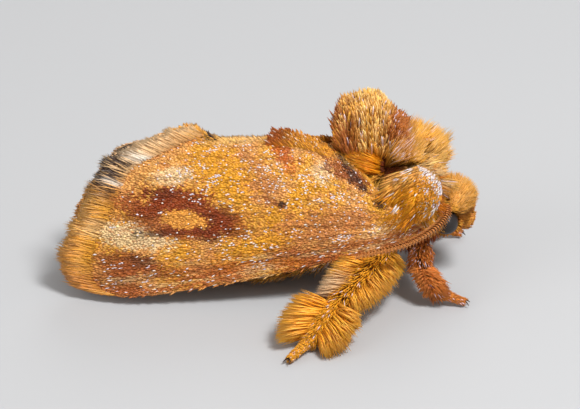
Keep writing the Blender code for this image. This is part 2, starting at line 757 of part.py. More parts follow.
def main():
    clear_scene()
    finish(thorax(), "thorax", "fur")
    finish(abdomen(), "abdomen", "fur")
    finish(head(), "head", "fur")
    for side, letter in ((1, "right"), (-1, "left")):
        finish(forewing(side), f"forewing_{letter}", "wing")
        finish(hindwing(side), f"hindwing_{letter}", "hindwing")
        finish(tegula(side), f"tegula_{letter}", "fur")
        finish(eye(side), f"eye_{letter}", "eye")
        finish(palp(side), f"palp_{letter}", "fore")
        finish(antenna(side), f"antenna_{letter}", "antenna")
        for kind in LEGS:
            for part, obj in leg(kind, side).items():
                finish(obj, f"{kind}_{part}_{letter}", "fore" if kind == "foreleg" else "leg")


main()
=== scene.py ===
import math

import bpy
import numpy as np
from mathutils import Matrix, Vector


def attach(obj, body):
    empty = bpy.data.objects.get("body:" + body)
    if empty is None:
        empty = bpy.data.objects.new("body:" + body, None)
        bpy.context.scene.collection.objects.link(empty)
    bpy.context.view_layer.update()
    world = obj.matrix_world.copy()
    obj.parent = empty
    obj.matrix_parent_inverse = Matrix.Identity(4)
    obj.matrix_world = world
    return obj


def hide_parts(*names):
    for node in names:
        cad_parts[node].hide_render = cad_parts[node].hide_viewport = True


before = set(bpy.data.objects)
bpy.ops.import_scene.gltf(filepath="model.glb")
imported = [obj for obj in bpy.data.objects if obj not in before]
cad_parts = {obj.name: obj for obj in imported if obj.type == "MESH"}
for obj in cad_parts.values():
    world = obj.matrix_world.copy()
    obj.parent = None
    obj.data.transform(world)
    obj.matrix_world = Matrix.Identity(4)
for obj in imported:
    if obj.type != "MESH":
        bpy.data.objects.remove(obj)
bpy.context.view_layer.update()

# Looks of the spun glass slug moth: skin, wings, scales, hair, eyes, feelers and legs.
# Shapes are worked out in millimetres about the point on the floor below the middle of
# the thorax, with +X towards the head, +Z up and the animal's right side at -Y.

MM = 0.001
FORWARD_SHIFT = 4.2154
PATCH = 0.003
KITE_RISE = 0.01
FLOOR_GAP = 0.008

# Body: stations along X of half width, half height and height of the middle
BODY_STATIONS = [
    (-6.72, 0.02, 0.02, 1.10),
    (-6.60, 0.20, 0.22, 1.10),
    (-6.10, 0.34, 0.42, 1.14),
    (-5.30, 0.46, 0.56, 1.24),
    (-4.40, 0.52, 0.62, 1.36),
    (-3.50, 0.52, 0.62, 1.56),
    (-2.80, 0.46, 0.56, 1.90),
    (-2.36, 0.42, 0.50, 2.20),
    (-2.10, 0.48, 0.58, 2.40),
    (-1.85, 0.56, 0.80, 2.52),
    (-1.30, 0.84, 1.06, 2.58),
    (-0.70, 1.04, 1.20, 2.60),
    (-0.20, 1.10, 1.22, 2.58),
    (0.10, 0.98, 1.06, 2.50),
    (0.30, 0.66, 0.78, 2.36),
    (0.44, 0.48, 0.56, 2.14),
    (0.64, 0.50, 0.50, 2.06),
    (0.84, 0.54, 0.50, 2.04),
    (1.06, 0.46, 0.42, 2.03),
    (1.20, 0.28, 0.27, 2.02),
    (1.26, 0.02, 0.02, 2.02),
]

# Forewing: its edges as curves on the outer surface of the right wing
INNER_MARGIN = [
    (-1.05, -1.36, 3.20),
    (-1.60, -1.08, 3.66),
    (-2.30, -0.66, 4.06),
    (-3.10, -0.34, 4.27),
    (-4.50, -0.27, 4.30),
    (-5.60, -0.27, 4.30),
    (-6.40, -0.27, 4.72),
]
COSTA = [
    (0.22, -1.36, 2.04),
    (-0.72, -1.70, 1.74),
    (-1.80, -1.88, 1.50),
    (-3.60, -1.98, 1.07),
    (-6.10, -2.05, 0.60),
    (-7.60, -2.06, 0.38),
    (-8.60, -1.92, 0.30),
    (-9.30, -1.66, 0.30),
]
WING_BASE = [(-1.05, -1.36, 3.20), (-0.64, -1.56, 2.70), (0.22, -1.36, 2.04)]
TERMEN = [
    (-6.40, -0.27, 4.72),
    (-7.00, -0.29, 4.56),
    (-7.67, -0.34, 4.26),
    (-8.30, -0.42, 4.02),
    (-8.72, -0.48, 3.76),
    (-9.05, -0.66, 3.24),
    (-9.42, -0.90, 2.47),
    (-9.68, -1.04, 1.96),
    (-9.94, -1.17, 1.40),
    (-9.98, -1.27, 0.88),
    (-9.80, -1.42, 0.46),
    (-9.30, -1.66, 0.30),
]
WING_BULGE = 0.35
WING_OUTWARDS = (0.0, -0.85, 0.53)
LEFT_WING_SHIFT = 0.25
LEFT_WING_DROP = 0.36
DROP_STARTS = (0.12, 0.40)
MEMBRANE_DEPTH = 0.06
MEMBRANE_THICKNESS = 0.12
MEMBRANE_END = 0.970
SCALES_END = 0.982
HINDWING_SPAN = (0.26, 0.77)
HINDWING_WIDTH = (0.53, 0.77)
HINDWING_LIFT = 0.72
RIDGE_SPAN = (0.30, 0.585)
VEIN_FIRST = 0.0667
VEIN_STEP = 0.1
VEIN_HEIGHT = 0.020

# Legs: the places of root, knee, ankle and toe on one side, with Y outwards
LEGS = {
    "foreleg": {
        "joints": [(0.06, 0.82, 1.34), (-0.02, 1.62, 1.12), (0.44, 1.90, 0.42), (1.17, 2.02, 0.16)],
        "radii": [0.20, 0.17, 0.13, 0.07],
    },
    "midleg": {
        "joints": [(-0.75, 0.88, 1.30), (-2.28, 3.40, 0.93), (-3.00, 4.35, 0.33), (-3.61, 5.20, 0.15)],
        "radii": [0.21, 0.18, 0.14, 0.07],
    },
    "hindleg": {
        "joints": [(-1.60, 0.50, 1.40), (-2.90, 0.72, 0.72), (-4.40, 0.72, 0.30), (-5.40, 0.72, 0.14)],
        "radii": [0.18, 0.16, 0.12, 0.07],
    },
}

ANTENNA_PATH = [
    (0.76, -0.60, 2.40),
    (0.68, -1.16, 2.34),
    (0.26, -1.82, 2.22),
    (-0.55, -2.28, 2.02),
    (-1.80, -2.42, 1.76),
]
ANTENNA_JOINTS = 38
ANTENNA_TEETH = 9
PALP_PATH = [(1.08, -0.24, 1.72), (1.30, -0.27, 1.72), (1.42, -0.27, 1.96)]
CREST_ROOTS_X = (-1.98, -0.84)
CREST_PROFILE = [(-2.34, 4.72), (-2.10, 5.44), (-1.55, 5.66), (-1.08, 5.60), (-0.78, 5.12), (-0.48, 4.90)]
EYE_CENTRE = (0.72, 0.56, 1.87)
EYE_RADIUS = 0.34
EYE_BULGE = 0.32
TEGULA_MIDDLE = (-0.02, 64.0)
TEGULA_HALF = (0.60, 26.0)
TEGULA_AXIS_HEIGHT = 2.58
TEGULA_INNER = (1.38, 1.46)
TEGULA_RIM = 0.08
TEGULA_DOME = 0.36


def srgb(red, green, blue):
    """Linear colour of a display colour given from 0 to 255."""
    c = np.array([red, green, blue], float) / 255
    return np.where(c <= 0.04045, c / 12.92, ((c + 0.055) / 1.055) ** 2.4)


GOLD = srgb(230, 160, 34)
GOLDOVAL = srgb(232, 158, 66)
AMBER = srgb(238, 166, 50)
OCHRE = srgb(234, 167, 60)
TAN = srgb(230, 166, 90)
PINKTAN = srgb(196, 124, 68)
CREAM = srgb(255, 220, 158)
PALE = srgb(255, 241, 222)
IVORY = srgb(255, 230, 182)
FRINGE_PALE = srgb(236, 206, 166)
LILAC = srgb(244, 232, 248)
BROWN = srgb(164, 86, 38)
REDBROWN = srgb(140, 56, 16)
DARKBROWN = srgb(88, 34, 14)
BLACKBROWN = srgb(54, 24, 14)
RUST = srgb(194, 92, 18)
ORANGE = srgb(254, 174, 34)
DEEP_ORANGE = srgb(236, 132, 14)
HAIR = srgb(233, 173, 66)
FORE = srgb(158, 78, 32)
GREY = srgb(86, 76, 72)
WHITE_FLUFF = srgb(226, 190, 148)
EYE_GREY = srgb(52, 47, 46)
FORE_LIGHT = srgb(222, 134, 54)
CUTICLE = srgb(104, 58, 28)
FEELER = srgb(222, 148, 78)
FEELER_DARK = srgb(100, 54, 28)

# Markings of the forewing: colour, then the middle and the long and short half axes in thousandths
# of the wing's chart, then the strength in hundredths
WING_MARKS = [
    (BROWN, 665, 600, -205, 58, -10, 120, 62),
    (PINKTAN, 260, 677, -158, -75, -8, 123, 80),
    (PINKTAN, 535, 323, -100, 28, -98, 203, 75),
    (GOLD, 642, 292, -60, -52, -130, 192, 90),
    (GOLD, 328, 427, -80, -175, -15, 62, 90),
    (GOLD, 465, 815, -100, -60, -13, 65, 75),
    (GOLD, 638, 772, -42, 17, 5, 43, 50),
    (GOLD, 910, 705, -32, -10, -12, 112, 80),
    (AMBER, 260, 10, -95, 20, -27, 100, 50),
    (IVORY, 765, 370, -55, -20, -22, 62, 50),
    (IVORY, 290, 215, -44, 7, -7, 98, 45),
    (IVORY, 820, 680, -125, 45, 0, 56, 62),
    (CREAM, 80, 745, -53, -40, 3, 88, 48),
    (FRINGE_PALE, 955, 300, -45, -20, -5, 150, 55),
    (CREAM, 740, 10, -112, 0, 0, 50, 40),
    (REDBROWN, 720, 475, -105, 18, -5, 55, 95),
    (DARKBROWN, 763, 458, -53, 10, -2, 25, 60),
    (DARKBROWN, 567, 618, -38, 36, 12, 80, 60),
    (DARKBROWN, 590, 700, -50, 40, 5, 42, 55),
    (REDBROWN, 515, 670, -47, 42, 5, 60, 55),
    (BROWN, 812, 542, -65, 23, -3, 30, 80),
    (BROWN, 897, 510, -38, 15, 0, 40, 45),
    (BLACKBROWN, 705, 660, -100, -5, -5, 22, 80),
    (BROWN, 790, 815, -98, 47, 8, 47, 85),
    (DARKBROWN, 748, 812, -40, 20, 3, 25, 60),
    (BROWN, 818, 907, -17, 60, 35, 55, 70),
    (BLACKBROWN, 393, 532, -25, 18, 0, 28, 95),
    (REDBROWN, 432, 503, -33, 13, 0, 25, 50),
    (REDBROWN, 370, 600, -20, 15, 3, 27, 40),
    (REDBROWN, 185, 85, -120, 30, 18, 113, 80),
    (BLACKBROWN, 205, 37, -38, 10, 0, 43, 90),
    (BLACKBROWN, 155, 115, -27, 8, 8, 58, 80),
    (BLACKBROWN, 110, 147, -22, 18, 12, 70, 80),
    (BLACKBROWN, 48, 328, -20, 40, 15, 75, 90),
    (BLACKBROWN, 240, 10, -43, 0, 0, 25, 70),
    (RUST, 480, 125, -93, 125, 12, 33, 85),
    (RUST, 410, 258, -35, 45, 5, 32, 60),
    (RUST, 510, 20, -70, 0, 0, 60, 75),
    (RUST, 348, 938, -163, 52, 5, 27, 70),
    (RUST, 542, 920, -110, 12, 5, 22, 60),
    (BROWN, 255, 905, -163, 65, 3, 27, 50),
    (BROWN, 55, 915, -70, -30, 3, 47, 70),
    (CREAM, 338, 888, -135, 37, -3, 15, 32),
    (BROWN, 938, 595, -35, 35, -5, 45, 30),
]

# Oval spot of the forewing: middle and half axes in the wing's chart, and the ring round it
OVAL = (0.677, 0.598, -0.068, 0.013, -0.012, 0.052)
RING_INNER = (0.92, 1.15)
RING_OUTER = (1.70, 2.45)

# Clusters of pale scales on the forewing: middle and half axes in thousandths of the wing's chart
WING_FLECKS = [
    (792, 100, 75, 116),
    (580, 210, 121, 218),
    (562, 545, 50, 73),
    (807, 870, 97, 82),
    (367, 307, 128, 164),
    (247, 372, 134, 140),
    (698, 335, 85, 89),
    (500, 748, 87, 80),
    (188, 785, 112, 93),
    (70, 797, 55, 83),
    (868, 623, 50, 49),
]

# Coats of the legs: slot, the two colours and the number of scales
LEG_COATS = {
    "foreleg": ("brown_legs", (FORE, FORE_LIGHT), 2700),
    "midleg": ("orange_legs", (ORANGE, AMBER), 4000),
    "hindleg": ("orange_legs", (OCHRE, TAN), 1400),
}

# Fans of the legs: length of the leg that they stand on, way, length, number of hairs, and the share
# from which the tips are pale
LEG_FANS = {
    "foreleg": [
        (1, (0.35, -0.35, 0.15), 0.55, 500),
        (1, (-0.40, -0.30, 0.10), 0.45, 450),
        (0, (0.50, -0.30, 0.10), 0.35, 350),
        (0, (-0.50, -0.20, 0.10), 0.35, 350),
    ],
    "midleg": [
        (0, (-0.80, 0.10, 0.25), 0.98, 1700, 0.62),
        (0, (0.74, -0.62, -0.30), 0.92, 1900),
        (1, (-1.00, 0.10, 0.32), 1.20, 1900),
        (1, (0.80, -0.62, -0.05), 1.05, 1900),
    ],
    "hindleg": [
        (0, (-0.60, 0.20, -0.50), 0.45, 300),
        (1, (-0.80, 0.30, -0.05), 0.55, 400),
    ],
}

# Parting from which the hair of the thorax is combed, on the left side
PARTING = (-0.93, 0.44, 3.60)

# Markings of the body's hair: colour, middle with Y as a distance from the middle plane, radius, strength
BODY_MARKS = [
    (REDBROWN, -0.88, 0.48, 3.58, 0.34, 0.95),
    (DARKBROWN, -0.93, 0.48, 3.56, 0.20, 0.60),
    (CREAM, -0.20, 0.72, 3.46, 0.46, 0.60),
    (PALE, 0.00, 0.80, 3.34, 0.30, 0.50),
    (CREAM, -0.58, 0.30, 3.78, 0.26, 0.35),
    (BROWN, -0.86, 0.10, 3.80, 0.24, 0.60),
    (HAIR, 0.15, 0.40, 3.40, 0.50, 0.60),
    (DEEP_ORANGE, 0.20, 0.85, 2.90, 0.40, 0.60),
    (BROWN, 0.05, 1.00, 2.00, 0.70, 0.60),
    (BROWN, -1.00, 0.80, 1.60, 1.00, 0.60),
]


def unit(v):
    """Vectors scaled to length 1."""
    v = np.asarray(v, float)
    return v / np.maximum(np.linalg.norm(v, axis=-1, keepdims=True), 1e-12)


def step(low, high, x):
    """Smooth rise from 0 at low to 1 at high."""
    k = np.clip((np.asarray(x, float) - low) / (high - low), 0, 1)
    return k * k * (3 - 2 * k)


def mix(a, b, k):
    """Colour a where the share k is 0 and colour b where it is 1, in a straight line between."""
    k = np.asarray(k, float)[..., None]
    return np.asarray(a) * (1 - k) + np.asarray(b) * k


def stack(*values):
    """Values side by side on a new last axis, single numbers spread over all rows."""
    return np.stack(np.broadcast_arrays(*values), axis=-1)


def noise(places, size, seed):
    """Value noise from 0 to 1: random values on a lattice of the given cell size, blended
    between the eight corners round each place with smoothstep weights."""
    table = np.random.default_rng(seed).random((16, 16, 16))
    p = np.asarray(places, float) / size
    base = np.floor(p).astype(int)
    f = p - base
    f = f * f * (3 - 2 * f)
    total = np.zeros(p.shape[:-1])
    for corner in range(8):
        offset = np.array([(corner >> k) & 1 for k in range(3)])
        index = (base + offset) % 16
        weight = np.prod(np.where(offset == 1, f, 1 - f), axis=-1)
        total += weight * table[index[..., 0], index[..., 1], index[..., 2]]
    return total


def smooth_curve(points, shares):
    """Catmull-Rom curve through points, read at the given shares of its length."""
    p = np.asarray(points, float)
    p = np.vstack([2 * p[0] - p[1], p, 2 * p[-1] - p[-2]])
    fine = []
    for a, b, c, d in zip(p, p[1:], p[2:], p[3:]):
        k = np.linspace(0, 1, 24, endpoint=False)[:, None]
        bend = (2 * a - 5 * b + 4 * c - d) * k**2 + (3 * b - 3 * c + d - a) * k**3
        fine.append(0.5 * (2 * b + (c - a) * k + bend))
    fine = np.vstack(fine + [p[-2:-1]])
    run = np.concatenate([[0], np.cumsum(np.linalg.norm(np.diff(fine[:, :3], axis=0), axis=1))])
    at = np.asarray(shares, float) * run[-1]
    return np.stack([np.interp(at, run, fine[:, i]) for i in range(fine.shape[1])], axis=-1)


def mirrored(points, side):
    """Points or directions of the right side, or turned over to the left side."""
    return np.asarray(points, float) * np.array([1.0, side, 1.0])


def frames_along(path):
    """Tangent, side and up at each point of a path, carried along without twist."""
    tangents = unit(np.gradient(path, axis=0))
    up = np.array([0.0, 0.0, 1.0])
    sides, ups = [], []
    for t in tangents:
        up = unit(up - t * (up @ t))
        ups.append(up)
        sides.append(np.cross(t, up))
    return tangents, np.array(sides), np.array(ups)


def grid_faces(rows, columns):
    """Quads of a grid of rows by columns points."""
    r, c = np.meshgrid(np.arange(rows - 1), np.arange(columns - 1), indexing="ij")
    a = (r * columns + c).ravel()
    return stack(a, a + 1, a + columns + 1, a + columns)


def join(parts):
    """Several pieces of points, faces, tones and UVs as one, with faces of one size."""
    points, faces, tones, uvs = [], [], [], []
    count = 0
    for p, f, c, w in parts:
        points.append(p.reshape(-1, 3))
        faces.append(f + count)
        tones.append(np.broadcast_to(c, (len(points[-1]), 3)))
        uvs.append(w.reshape(-1, 2))
        count += len(points[-1])
    return np.vstack(points), np.vstack(faces), np.vstack(tones), np.vstack(uvs)


def make(name, part, material, nodes):
    """A mesh object from points in body millimetres, none of them left below the floor, faces of one
    size, point colours and UVs."""
    points, faces, tones, uvs = part
    points = np.asarray(points) + np.array([FORWARD_SHIFT, 0, 0])
    points[:, 2] = np.maximum(points[:, 2], FLOOR_GAP)
    points = points * MM
    mesh = bpy.data.meshes.new(name)
    mesh.vertices.add(len(points))
    mesh.vertices.foreach_set("co", points.astype(np.float32).ravel())
    size = faces.shape[1]
    mesh.loops.add(faces.size)
    mesh.loops.foreach_set("vertex_index", faces.astype(np.int32).ravel())
    mesh.polygons.add(len(faces))
    mesh.polygons.foreach_set("loop_start", np.arange(0, faces.size, size, dtype=np.int32))
    mesh.polygons.foreach_set("use_smooth", np.ones(len(faces), bool))
    mesh.update(calc_edges=True)
    layer = mesh.uv_layers.new(name="OFBake")
    layer.data.foreach_set("uv", uvs[faces.ravel()].astype(np.float32).ravel())
    tone = mesh.color_attributes.new("tone", "FLOAT_COLOR", "POINT")
    rgba = np.ones((len(points), 4), np.float32)
    rgba[:, :3] = np.clip(tones, 0, 1)
    tone.data.foreach_set("color", rgba.ravel())
    mesh.validate()
    obj = bpy.data.objects.new(name, mesh)
    bpy.context.scene.collection.objects.link(obj)
    mesh.materials.append(material)
    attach(obj, "root")
    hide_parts(*nodes)
    return obj


# Hairs and scales


def blades(root, way, bend, length, width, depth, flat, foot, tip, uv, sink=0.05, end=0.0, blunt=None):
    """Flat tapered hairs of triangular section. Each middle line starts by sink below the skin, runs
    along its way and bends by bend times the square of the run. The width swells, then closes to the
    tip, later where blunt gives its share there. flat is the raised direction. foot and tip are the
    colours at both ends, and the change starts at the share end of the run."""
    n = len(root)
    sizes = [np.broadcast_to(np.asarray(value, float), (n,)) for value in (length, width, depth)]
    length, width, depth = sizes
    way = unit(np.broadcast_to(way, (n, 3)))
    flat = np.broadcast_to(np.asarray(flat, float), (n, 3))
    flat = unit(flat - way * np.sum(flat * way, axis=-1, keepdims=True))
    across = np.cross(way, flat)
    bend = np.broadcast_to(np.asarray(bend, float), (n, 3))
    start = root - way * sink
    reach = (length + sink)[:, None]
    run, profile = np.array([0.0, 0.62]), np.array([0.75, 1.0])
    if blunt:
        run, profile = np.array([0.0, 0.40, 0.82]), np.array([0.65, 1.0, blunt])
    u = run[None, :, None]
    middle = start[:, None] + reach[:, None] * (way[:, None] * u + bend[:, None] * u**2)
    half = (0.5 * width[:, None] * profile)[..., None] * across[:, None]
    rise = (depth[:, None] * profile)[..., None] * flat[:, None]
    rings = np.stack([middle - half, middle + rise, middle + half], axis=2).reshape(n, -1, 3)
    last = (start + reach * (way + bend))[:, None]
    points = np.concatenate([rings, last], axis=1)
    m = len(run)
    pattern = [(0, 2, 1)]
    for k in range(m - 1):
        for i in range(3):
            j = (i + 1) % 3
            a, b, c, d = 3 * k + i, 3 * k + j, 3 * k + 3 + j, 3 * k + 3 + i
            pattern += [(a, b, c), (a, c, d)]
    pattern += [(3 * m - 3 + i, 3 * m - 3 + (i + 1) % 3, 3 * m) for i in range(3)]
    pattern = np.array(pattern)
    count = 3 * m + 1
    faces = (np.arange(n)[:, None, None] * count + pattern[None]).reshape(-1, 3)
    share = np.append(np.repeat(run, 3), 1.0)
    share = step(end, 1.0, share)
    tones = mix(np.broadcast_to(foot, (n, 3))[:, None], np.broadcast_to(tip, (n, 3))[:, None], share[None])
    spot = stack(np.append(np.tile([0, 0.5, 1.0], m), 0.5), np.append(np.repeat(run, 3), 1.0))
    uvs = uv[:, None] + (spot[None] - 0.5) * PATCH
    return points.reshape(-1, 3), faces, tones.reshape(-1, 3), uvs.reshape(-1, 2)


def kites(root, way, normal, length, width, lift, tones, uv):
    """Leaf-shaped scales: a foot, two side corners, a tip and a raised middle, with the tip
    lifted off the surface by lift times the length."""
    n = len(root)
    length = np.broadcast_to(np.asarray(length, float), (n,))[:, None]
    width = np.broadcast_to(np.asarray(width, float), (n,))[:, None]
    way = unit(way - normal * np.sum(way * normal, axis=-1, keepdims=True))
    across = np.cross(way, normal)
    lift = np.broadcast_to(np.asarray(lift, float), (n,))[:, None]
    climb = unit(way + normal * lift)
    middle = root + climb * length * 0.68
    points = np.stack(
        [
            root - normal * KITE_RISE,
            middle - across * width / 2,
            middle + across * width / 2,
            root + climb * length,
            middle + normal * KITE_RISE,
        ],
        axis=1,
    )
    pattern = np.array([(0, 4, 1), (1, 4, 3), (3, 4, 2), (2, 4, 0), (0, 1, 3), (0, 3, 2)])
    faces = (np.arange(n)[:, None, None] * 5 + pattern[None]).reshape(-1, 3)
    # Painted shade and light on each scale: the foot is darker, as in the shade of the scale before it, and
    # the lifted tip and raised middle are lighter.
    shade = np.array([0.84, 1.0, 1.0, 1.10, 1.04])
    colours = np.broadcast_to(tones, (n, 3))[:, None] * shade[None, :, None]
    spot = np.array([(0, -0.5), (-0.5, 0.05), (0.5, 0.05), (0, 0.5), (0, 0.05)]) * PATCH
    uvs = uv[:, None] + spot[None]
    return points.reshape(-1, 3), faces, colours.reshape(-1, 3), uvs.reshape(-1, 2)


# Forewing surface


def wing_point(s, t):
    """Outer surface of the right forewing: a Coons patch between its four edges, bulged outwards.
    s runs from the base to the outer margin and t from the inner margin to the costa."""
    s, t = np.broadcast_arrays(np.asarray(s, float), np.asarray(t, float))
    flat_s, flat_t = s.ravel(), t.ravel()
    inner, costa = smooth_curve(INNER_MARGIN, flat_s), smooth_curve(COSTA, flat_s)
    base, outer = smooth_curve(WING_BASE, flat_t), smooth_curve(TERMEN, flat_t)
    a, b = flat_s[:, None], flat_t[:, None]
    corners = (
        (1 - a) * (1 - b) * np.array(INNER_MARGIN[0])
        + (1 - a) * b * np.array(COSTA[0])
        + a * (1 - b) * np.array(TERMEN[0])
        + a * b * np.array(TERMEN[-1])
    )
    patch = (1 - b) * inner + b * costa + (1 - a) * base + a * outer - corners
    rise = WING_BULGE * 4 * b * (1 - b) * (1 - 0.7 * a**3)
    return (patch + rise * unit(WING_OUTWARDS)).reshape(s.shape + (3,))


def wing_frame(s, t, side):
    """Place, direction to the outer margin, direction to the costa and outward normal on a forewing."""
    small = 1e-3
    along = wing_point(np.clip(s + small, 0, 1), t) - wing_point(np.clip(s - small, 0, 1), t)
    across = wing_point(s, np.clip(t + small, 0, 1)) - wing_point(s, np.clip(t - small, 0, 1))
    normal = unit(np.cross(along, across))
    place = mirrored(wing_point(s, t), side)
    if side < 0:
        place[..., 0] += LEFT_WING_SHIFT * s
        share = np.clip((s - DROP_STARTS[0]) / (DROP_STARTS[1] - DROP_STARTS[0]), 0, 1)
        place[..., 2] -= LEFT_WING_DROP * share * (1 - t) ** 1.5
    return place, mirrored(unit(along), side), mirrored(unit(across), side), mirrored(normal, side)


def inside_ellipse(s, t, ellipse):
    """Distance from the middle of an ellipse of the chart, with its edge at 1."""
    cs, ct, long_s, long_t, short_s, short_t = ellipse
    ds, dt = s - cs, t - ct
    area = long_s * short_t - long_t * short_s
    one = (ds * short_t - dt * short_s) / area
    two = (dt * long_s - ds * long_t) / area
    return np.hypot(one, two)


def wing_tone(s, t, grain=0.0):
    """Colour of the forewing at its chart place: a tan ground streaked along the wing, then each
    marking as an ellipse with a ragged edge, laid over by its strength, then the oval and its ring."""
    chart = stack(s * 10, t * 5, 0)
    streak = noise(chart * np.array([0.35, 3.2, 1.0]), 0.32, 21)
    cloud = noise(chart, 0.75, 22)
    fine = noise(chart, 0.16, 23)
    tone = mix(TAN, OCHRE, step(0.35, 0.65, cloud))
    tone = mix(tone, PINKTAN, 0.5 * step(0.55, 0.85, fine))
    ragged = 0.55 * (noise(chart, 0.42, 24) - 0.5) + 0.50 * (fine - 0.5) + grain
    # Painted shade of the scale rows: a cosine across s at the spacing of the rows
    row_shade = 0.5 + 0.5 * np.cos(2 * math.pi * s / 0.0122 + 1.2 * fine)
    for colour, *ellipse, strength in WING_MARKS:
        inside = 1 - step(0.78, 1.32, inside_ellipse(s, t, np.array(ellipse) / 1000) + ragged)
        tone = mix(tone, colour, strength / 100 * inside)
    # The ring is darkest towards the base and the top; the oval lies over it
    reach = inside_ellipse(s, t, OVAL) + 0.7 * ragged
    ring = step(*RING_INNER, reach) * (1 - step(*RING_OUTER, reach))
    towards_base = step(0.75, 0.62, s)
    tone = mix(tone, REDBROWN, ring * (0.50 + 0.42 * np.maximum(towards_base, step(0.62, 0.52, t))))
    core = step(*RING_INNER, reach) * (1 - step(1.25, 1.70, reach))
    tone = mix(tone, DARKBROWN, 0.45 * core * towards_base)
    tone = mix(tone, GOLDOVAL, 1 - step(*RING_INNER, reach))
    # Painted shade in rows over the outer part, a dark band at the foot of each row of scales, and streaks
    # along the costa
    outer = step(0.68, 0.80, s) * step(0.50, 0.60, t)
    tone = tone * (1 - 0.24 * outer * row_shade)[..., None]
    front = step(0.78, 0.90, t)
    tone = mix(tone, BROWN, front * (0.22 + 0.60 * step(0.40, 0.62, streak)))
    tone = mix(tone, CREAM, 0.35 * front * step(0.62, 0.82, 1 - streak))
    shade = 0.12 + 0.22 * front
    return tone * (1 - shade / 2 + shade * streak + 0.22 * (fine - 0.5))[..., None]


def fleck_share(s, t):
    """Share of pale scales at a place on the forewing: a thin scatter and denser clusters."""
    share = np.full(np.shape(s), 0.022)
    for cs, ct, half_s, half_t in np.array(WING_FLECKS) / 1000:
        share += 0.050 * np.exp(-(((s - cs) / half_s) ** 2 + ((t - ct) / half_t) ** 2))
    return share


def wing_uv(s, t):
    """Place on the wing's unwrap, which is its chart with a narrow border."""
    return stack(0.02 + 0.96 * np.asarray(s), 0.02 + 0.96 * np.asarray(t))


def vein_rise(t):
    """Height of the veins over the wing's surface: rounded ridges at even steps of t."""
    off = (t - VEIN_FIRST) / VEIN_STEP
    return np.exp(-(((off - np.round(off)) * VEIN_STEP / 0.009) ** 2)) * VEIN_HEIGHT


def membrane(side, lift, span, width, thickness, rows, columns, veins):
    """Closed wing membrane over a part of the chart: two grids apart by the thickness, whose outer
    one carries the veins as rounded ridges, with the rim closed round them."""
    s, t = np.meshgrid(np.linspace(*span, rows), np.linspace(*width, columns), indexing="ij")
    place, _, _, normal = wing_frame(s, t, side)
    ridge = vein_rise(t) * veins
    outer = place + normal * (ridge - lift)[..., None]
    inner = place - normal * (lift + thickness)
    faces = grid_faces(rows, columns)
    count = rows * columns
    below = faces + count
    rim = np.concatenate(
        [
            np.arange(columns),
            np.arange(1, rows) * columns + columns - 1,
            (rows - 1) * columns + np.arange(columns - 2, -1, -1),
            np.arange(rows - 2, 0, -1) * columns,
        ]
    )
    after = np.roll(rim, -1)
    walls = stack(rim, after, after + count, rim + count)
    faces = np.vstack([faces[:, ::-1], below, walls])
    if side < 0:
        faces = faces[:, ::-1]
    tones = wing_tone(s, t).reshape(-1, 3)
    uvs = wing_uv(s, t).reshape(-1, 2)
    points = np.vstack([outer.reshape(-1, 3), inner.reshape(-1, 3)])
    # Painted shade: the inner face takes the outer face's colours at 0.8 brightness.
    return points, faces, np.vstack([tones, tones * 0.8]), np.vstack([uvs, uvs])


def rows_of_scales(rng, span, width, rows, columns, loose=0.45):
    """Staggered rows of scale roots over a part of the chart, each moved a little at random."""
    r, c = np.meshgrid(np.arange(rows), np.arange(columns), indexing="ij")
    u = (r + 0.5 + 0.4 * rng.uniform(-loose, loose, r.shape)) / rows
    v = (c + 0.5 * (r % 2) + 0.25 + rng.uniform(-loose, loose, r.shape)) / columns
    s = span[0] + (span[1] - span[0]) * u
    t = width[0] + (width[1] - width[0]) * np.clip(v, 0, 1)
    return s.ravel(), t.ravel()


def wing_scales(side, rng, rows, columns, under=False):
    """Scales of one face of a forewing, in rows, pointing to the outer margin and overlapping."""
    s, t = rows_of_scales(rng, (0.004, SCALES_END), (0.004, 0.996), rows, columns, 0.32)
    place, along, across, normal = wing_frame(s, t, side)
    if under:
        normal = -normal
        place = place + normal * (MEMBRANE_DEPTH + MEMBRANE_THICKNESS)
    else:
        place = place + normal * (vein_rise(t) - MEMBRANE_DEPTH)[:, None]
    n = len(s)
    narrow = step(0.72, 0.9, t)
    length = rng.uniform(0.13, 0.20, n) * (1 + 0.6 * narrow)
    width = rng.uniform(0.052, 0.084, n) * (1 - 0.35 * narrow)
    turn = rng.normal(0, 0.20, n)
    way = along + across * turn[:, None]
    lift = rng.uniform(0.02, 0.16, n)
    tone = wing_tone(s, t, rng.uniform(-0.30, 0.30, n)) * rng.uniform(0.74, 1.26, n)[:, None]
    tone = mix(tone, BROWN, rng.uniform(0.3, 0.7, n) * (rng.random(n) < 0.13))
    chart = stack(s * 10, t * 5, 0)
    clump = step(0.50, 0.78, noise(chart, 0.13, 31)) * 3.6
    pale = rng.random(n) < fleck_share(s, t) * (0.35 + clump)
    tone = np.where(pale[:, None], mix(LILAC, PALE, rng.random(n)) * rng.uniform(0.85, 1.0, n)[:, None], tone)
    lift = np.where(pale, lift + 0.10, lift)
    length = np.where(pale, length * 0.75, length)
    width = np.where(pale, width * 0.62, width)
    # Painted shade: the scales of the under face take the upper face's colours at 0.85 brightness.
    if under:
        tone = tone * 0.85
    return kites(place, way, normal, length, width, lift, tone, wing_uv(s, t))


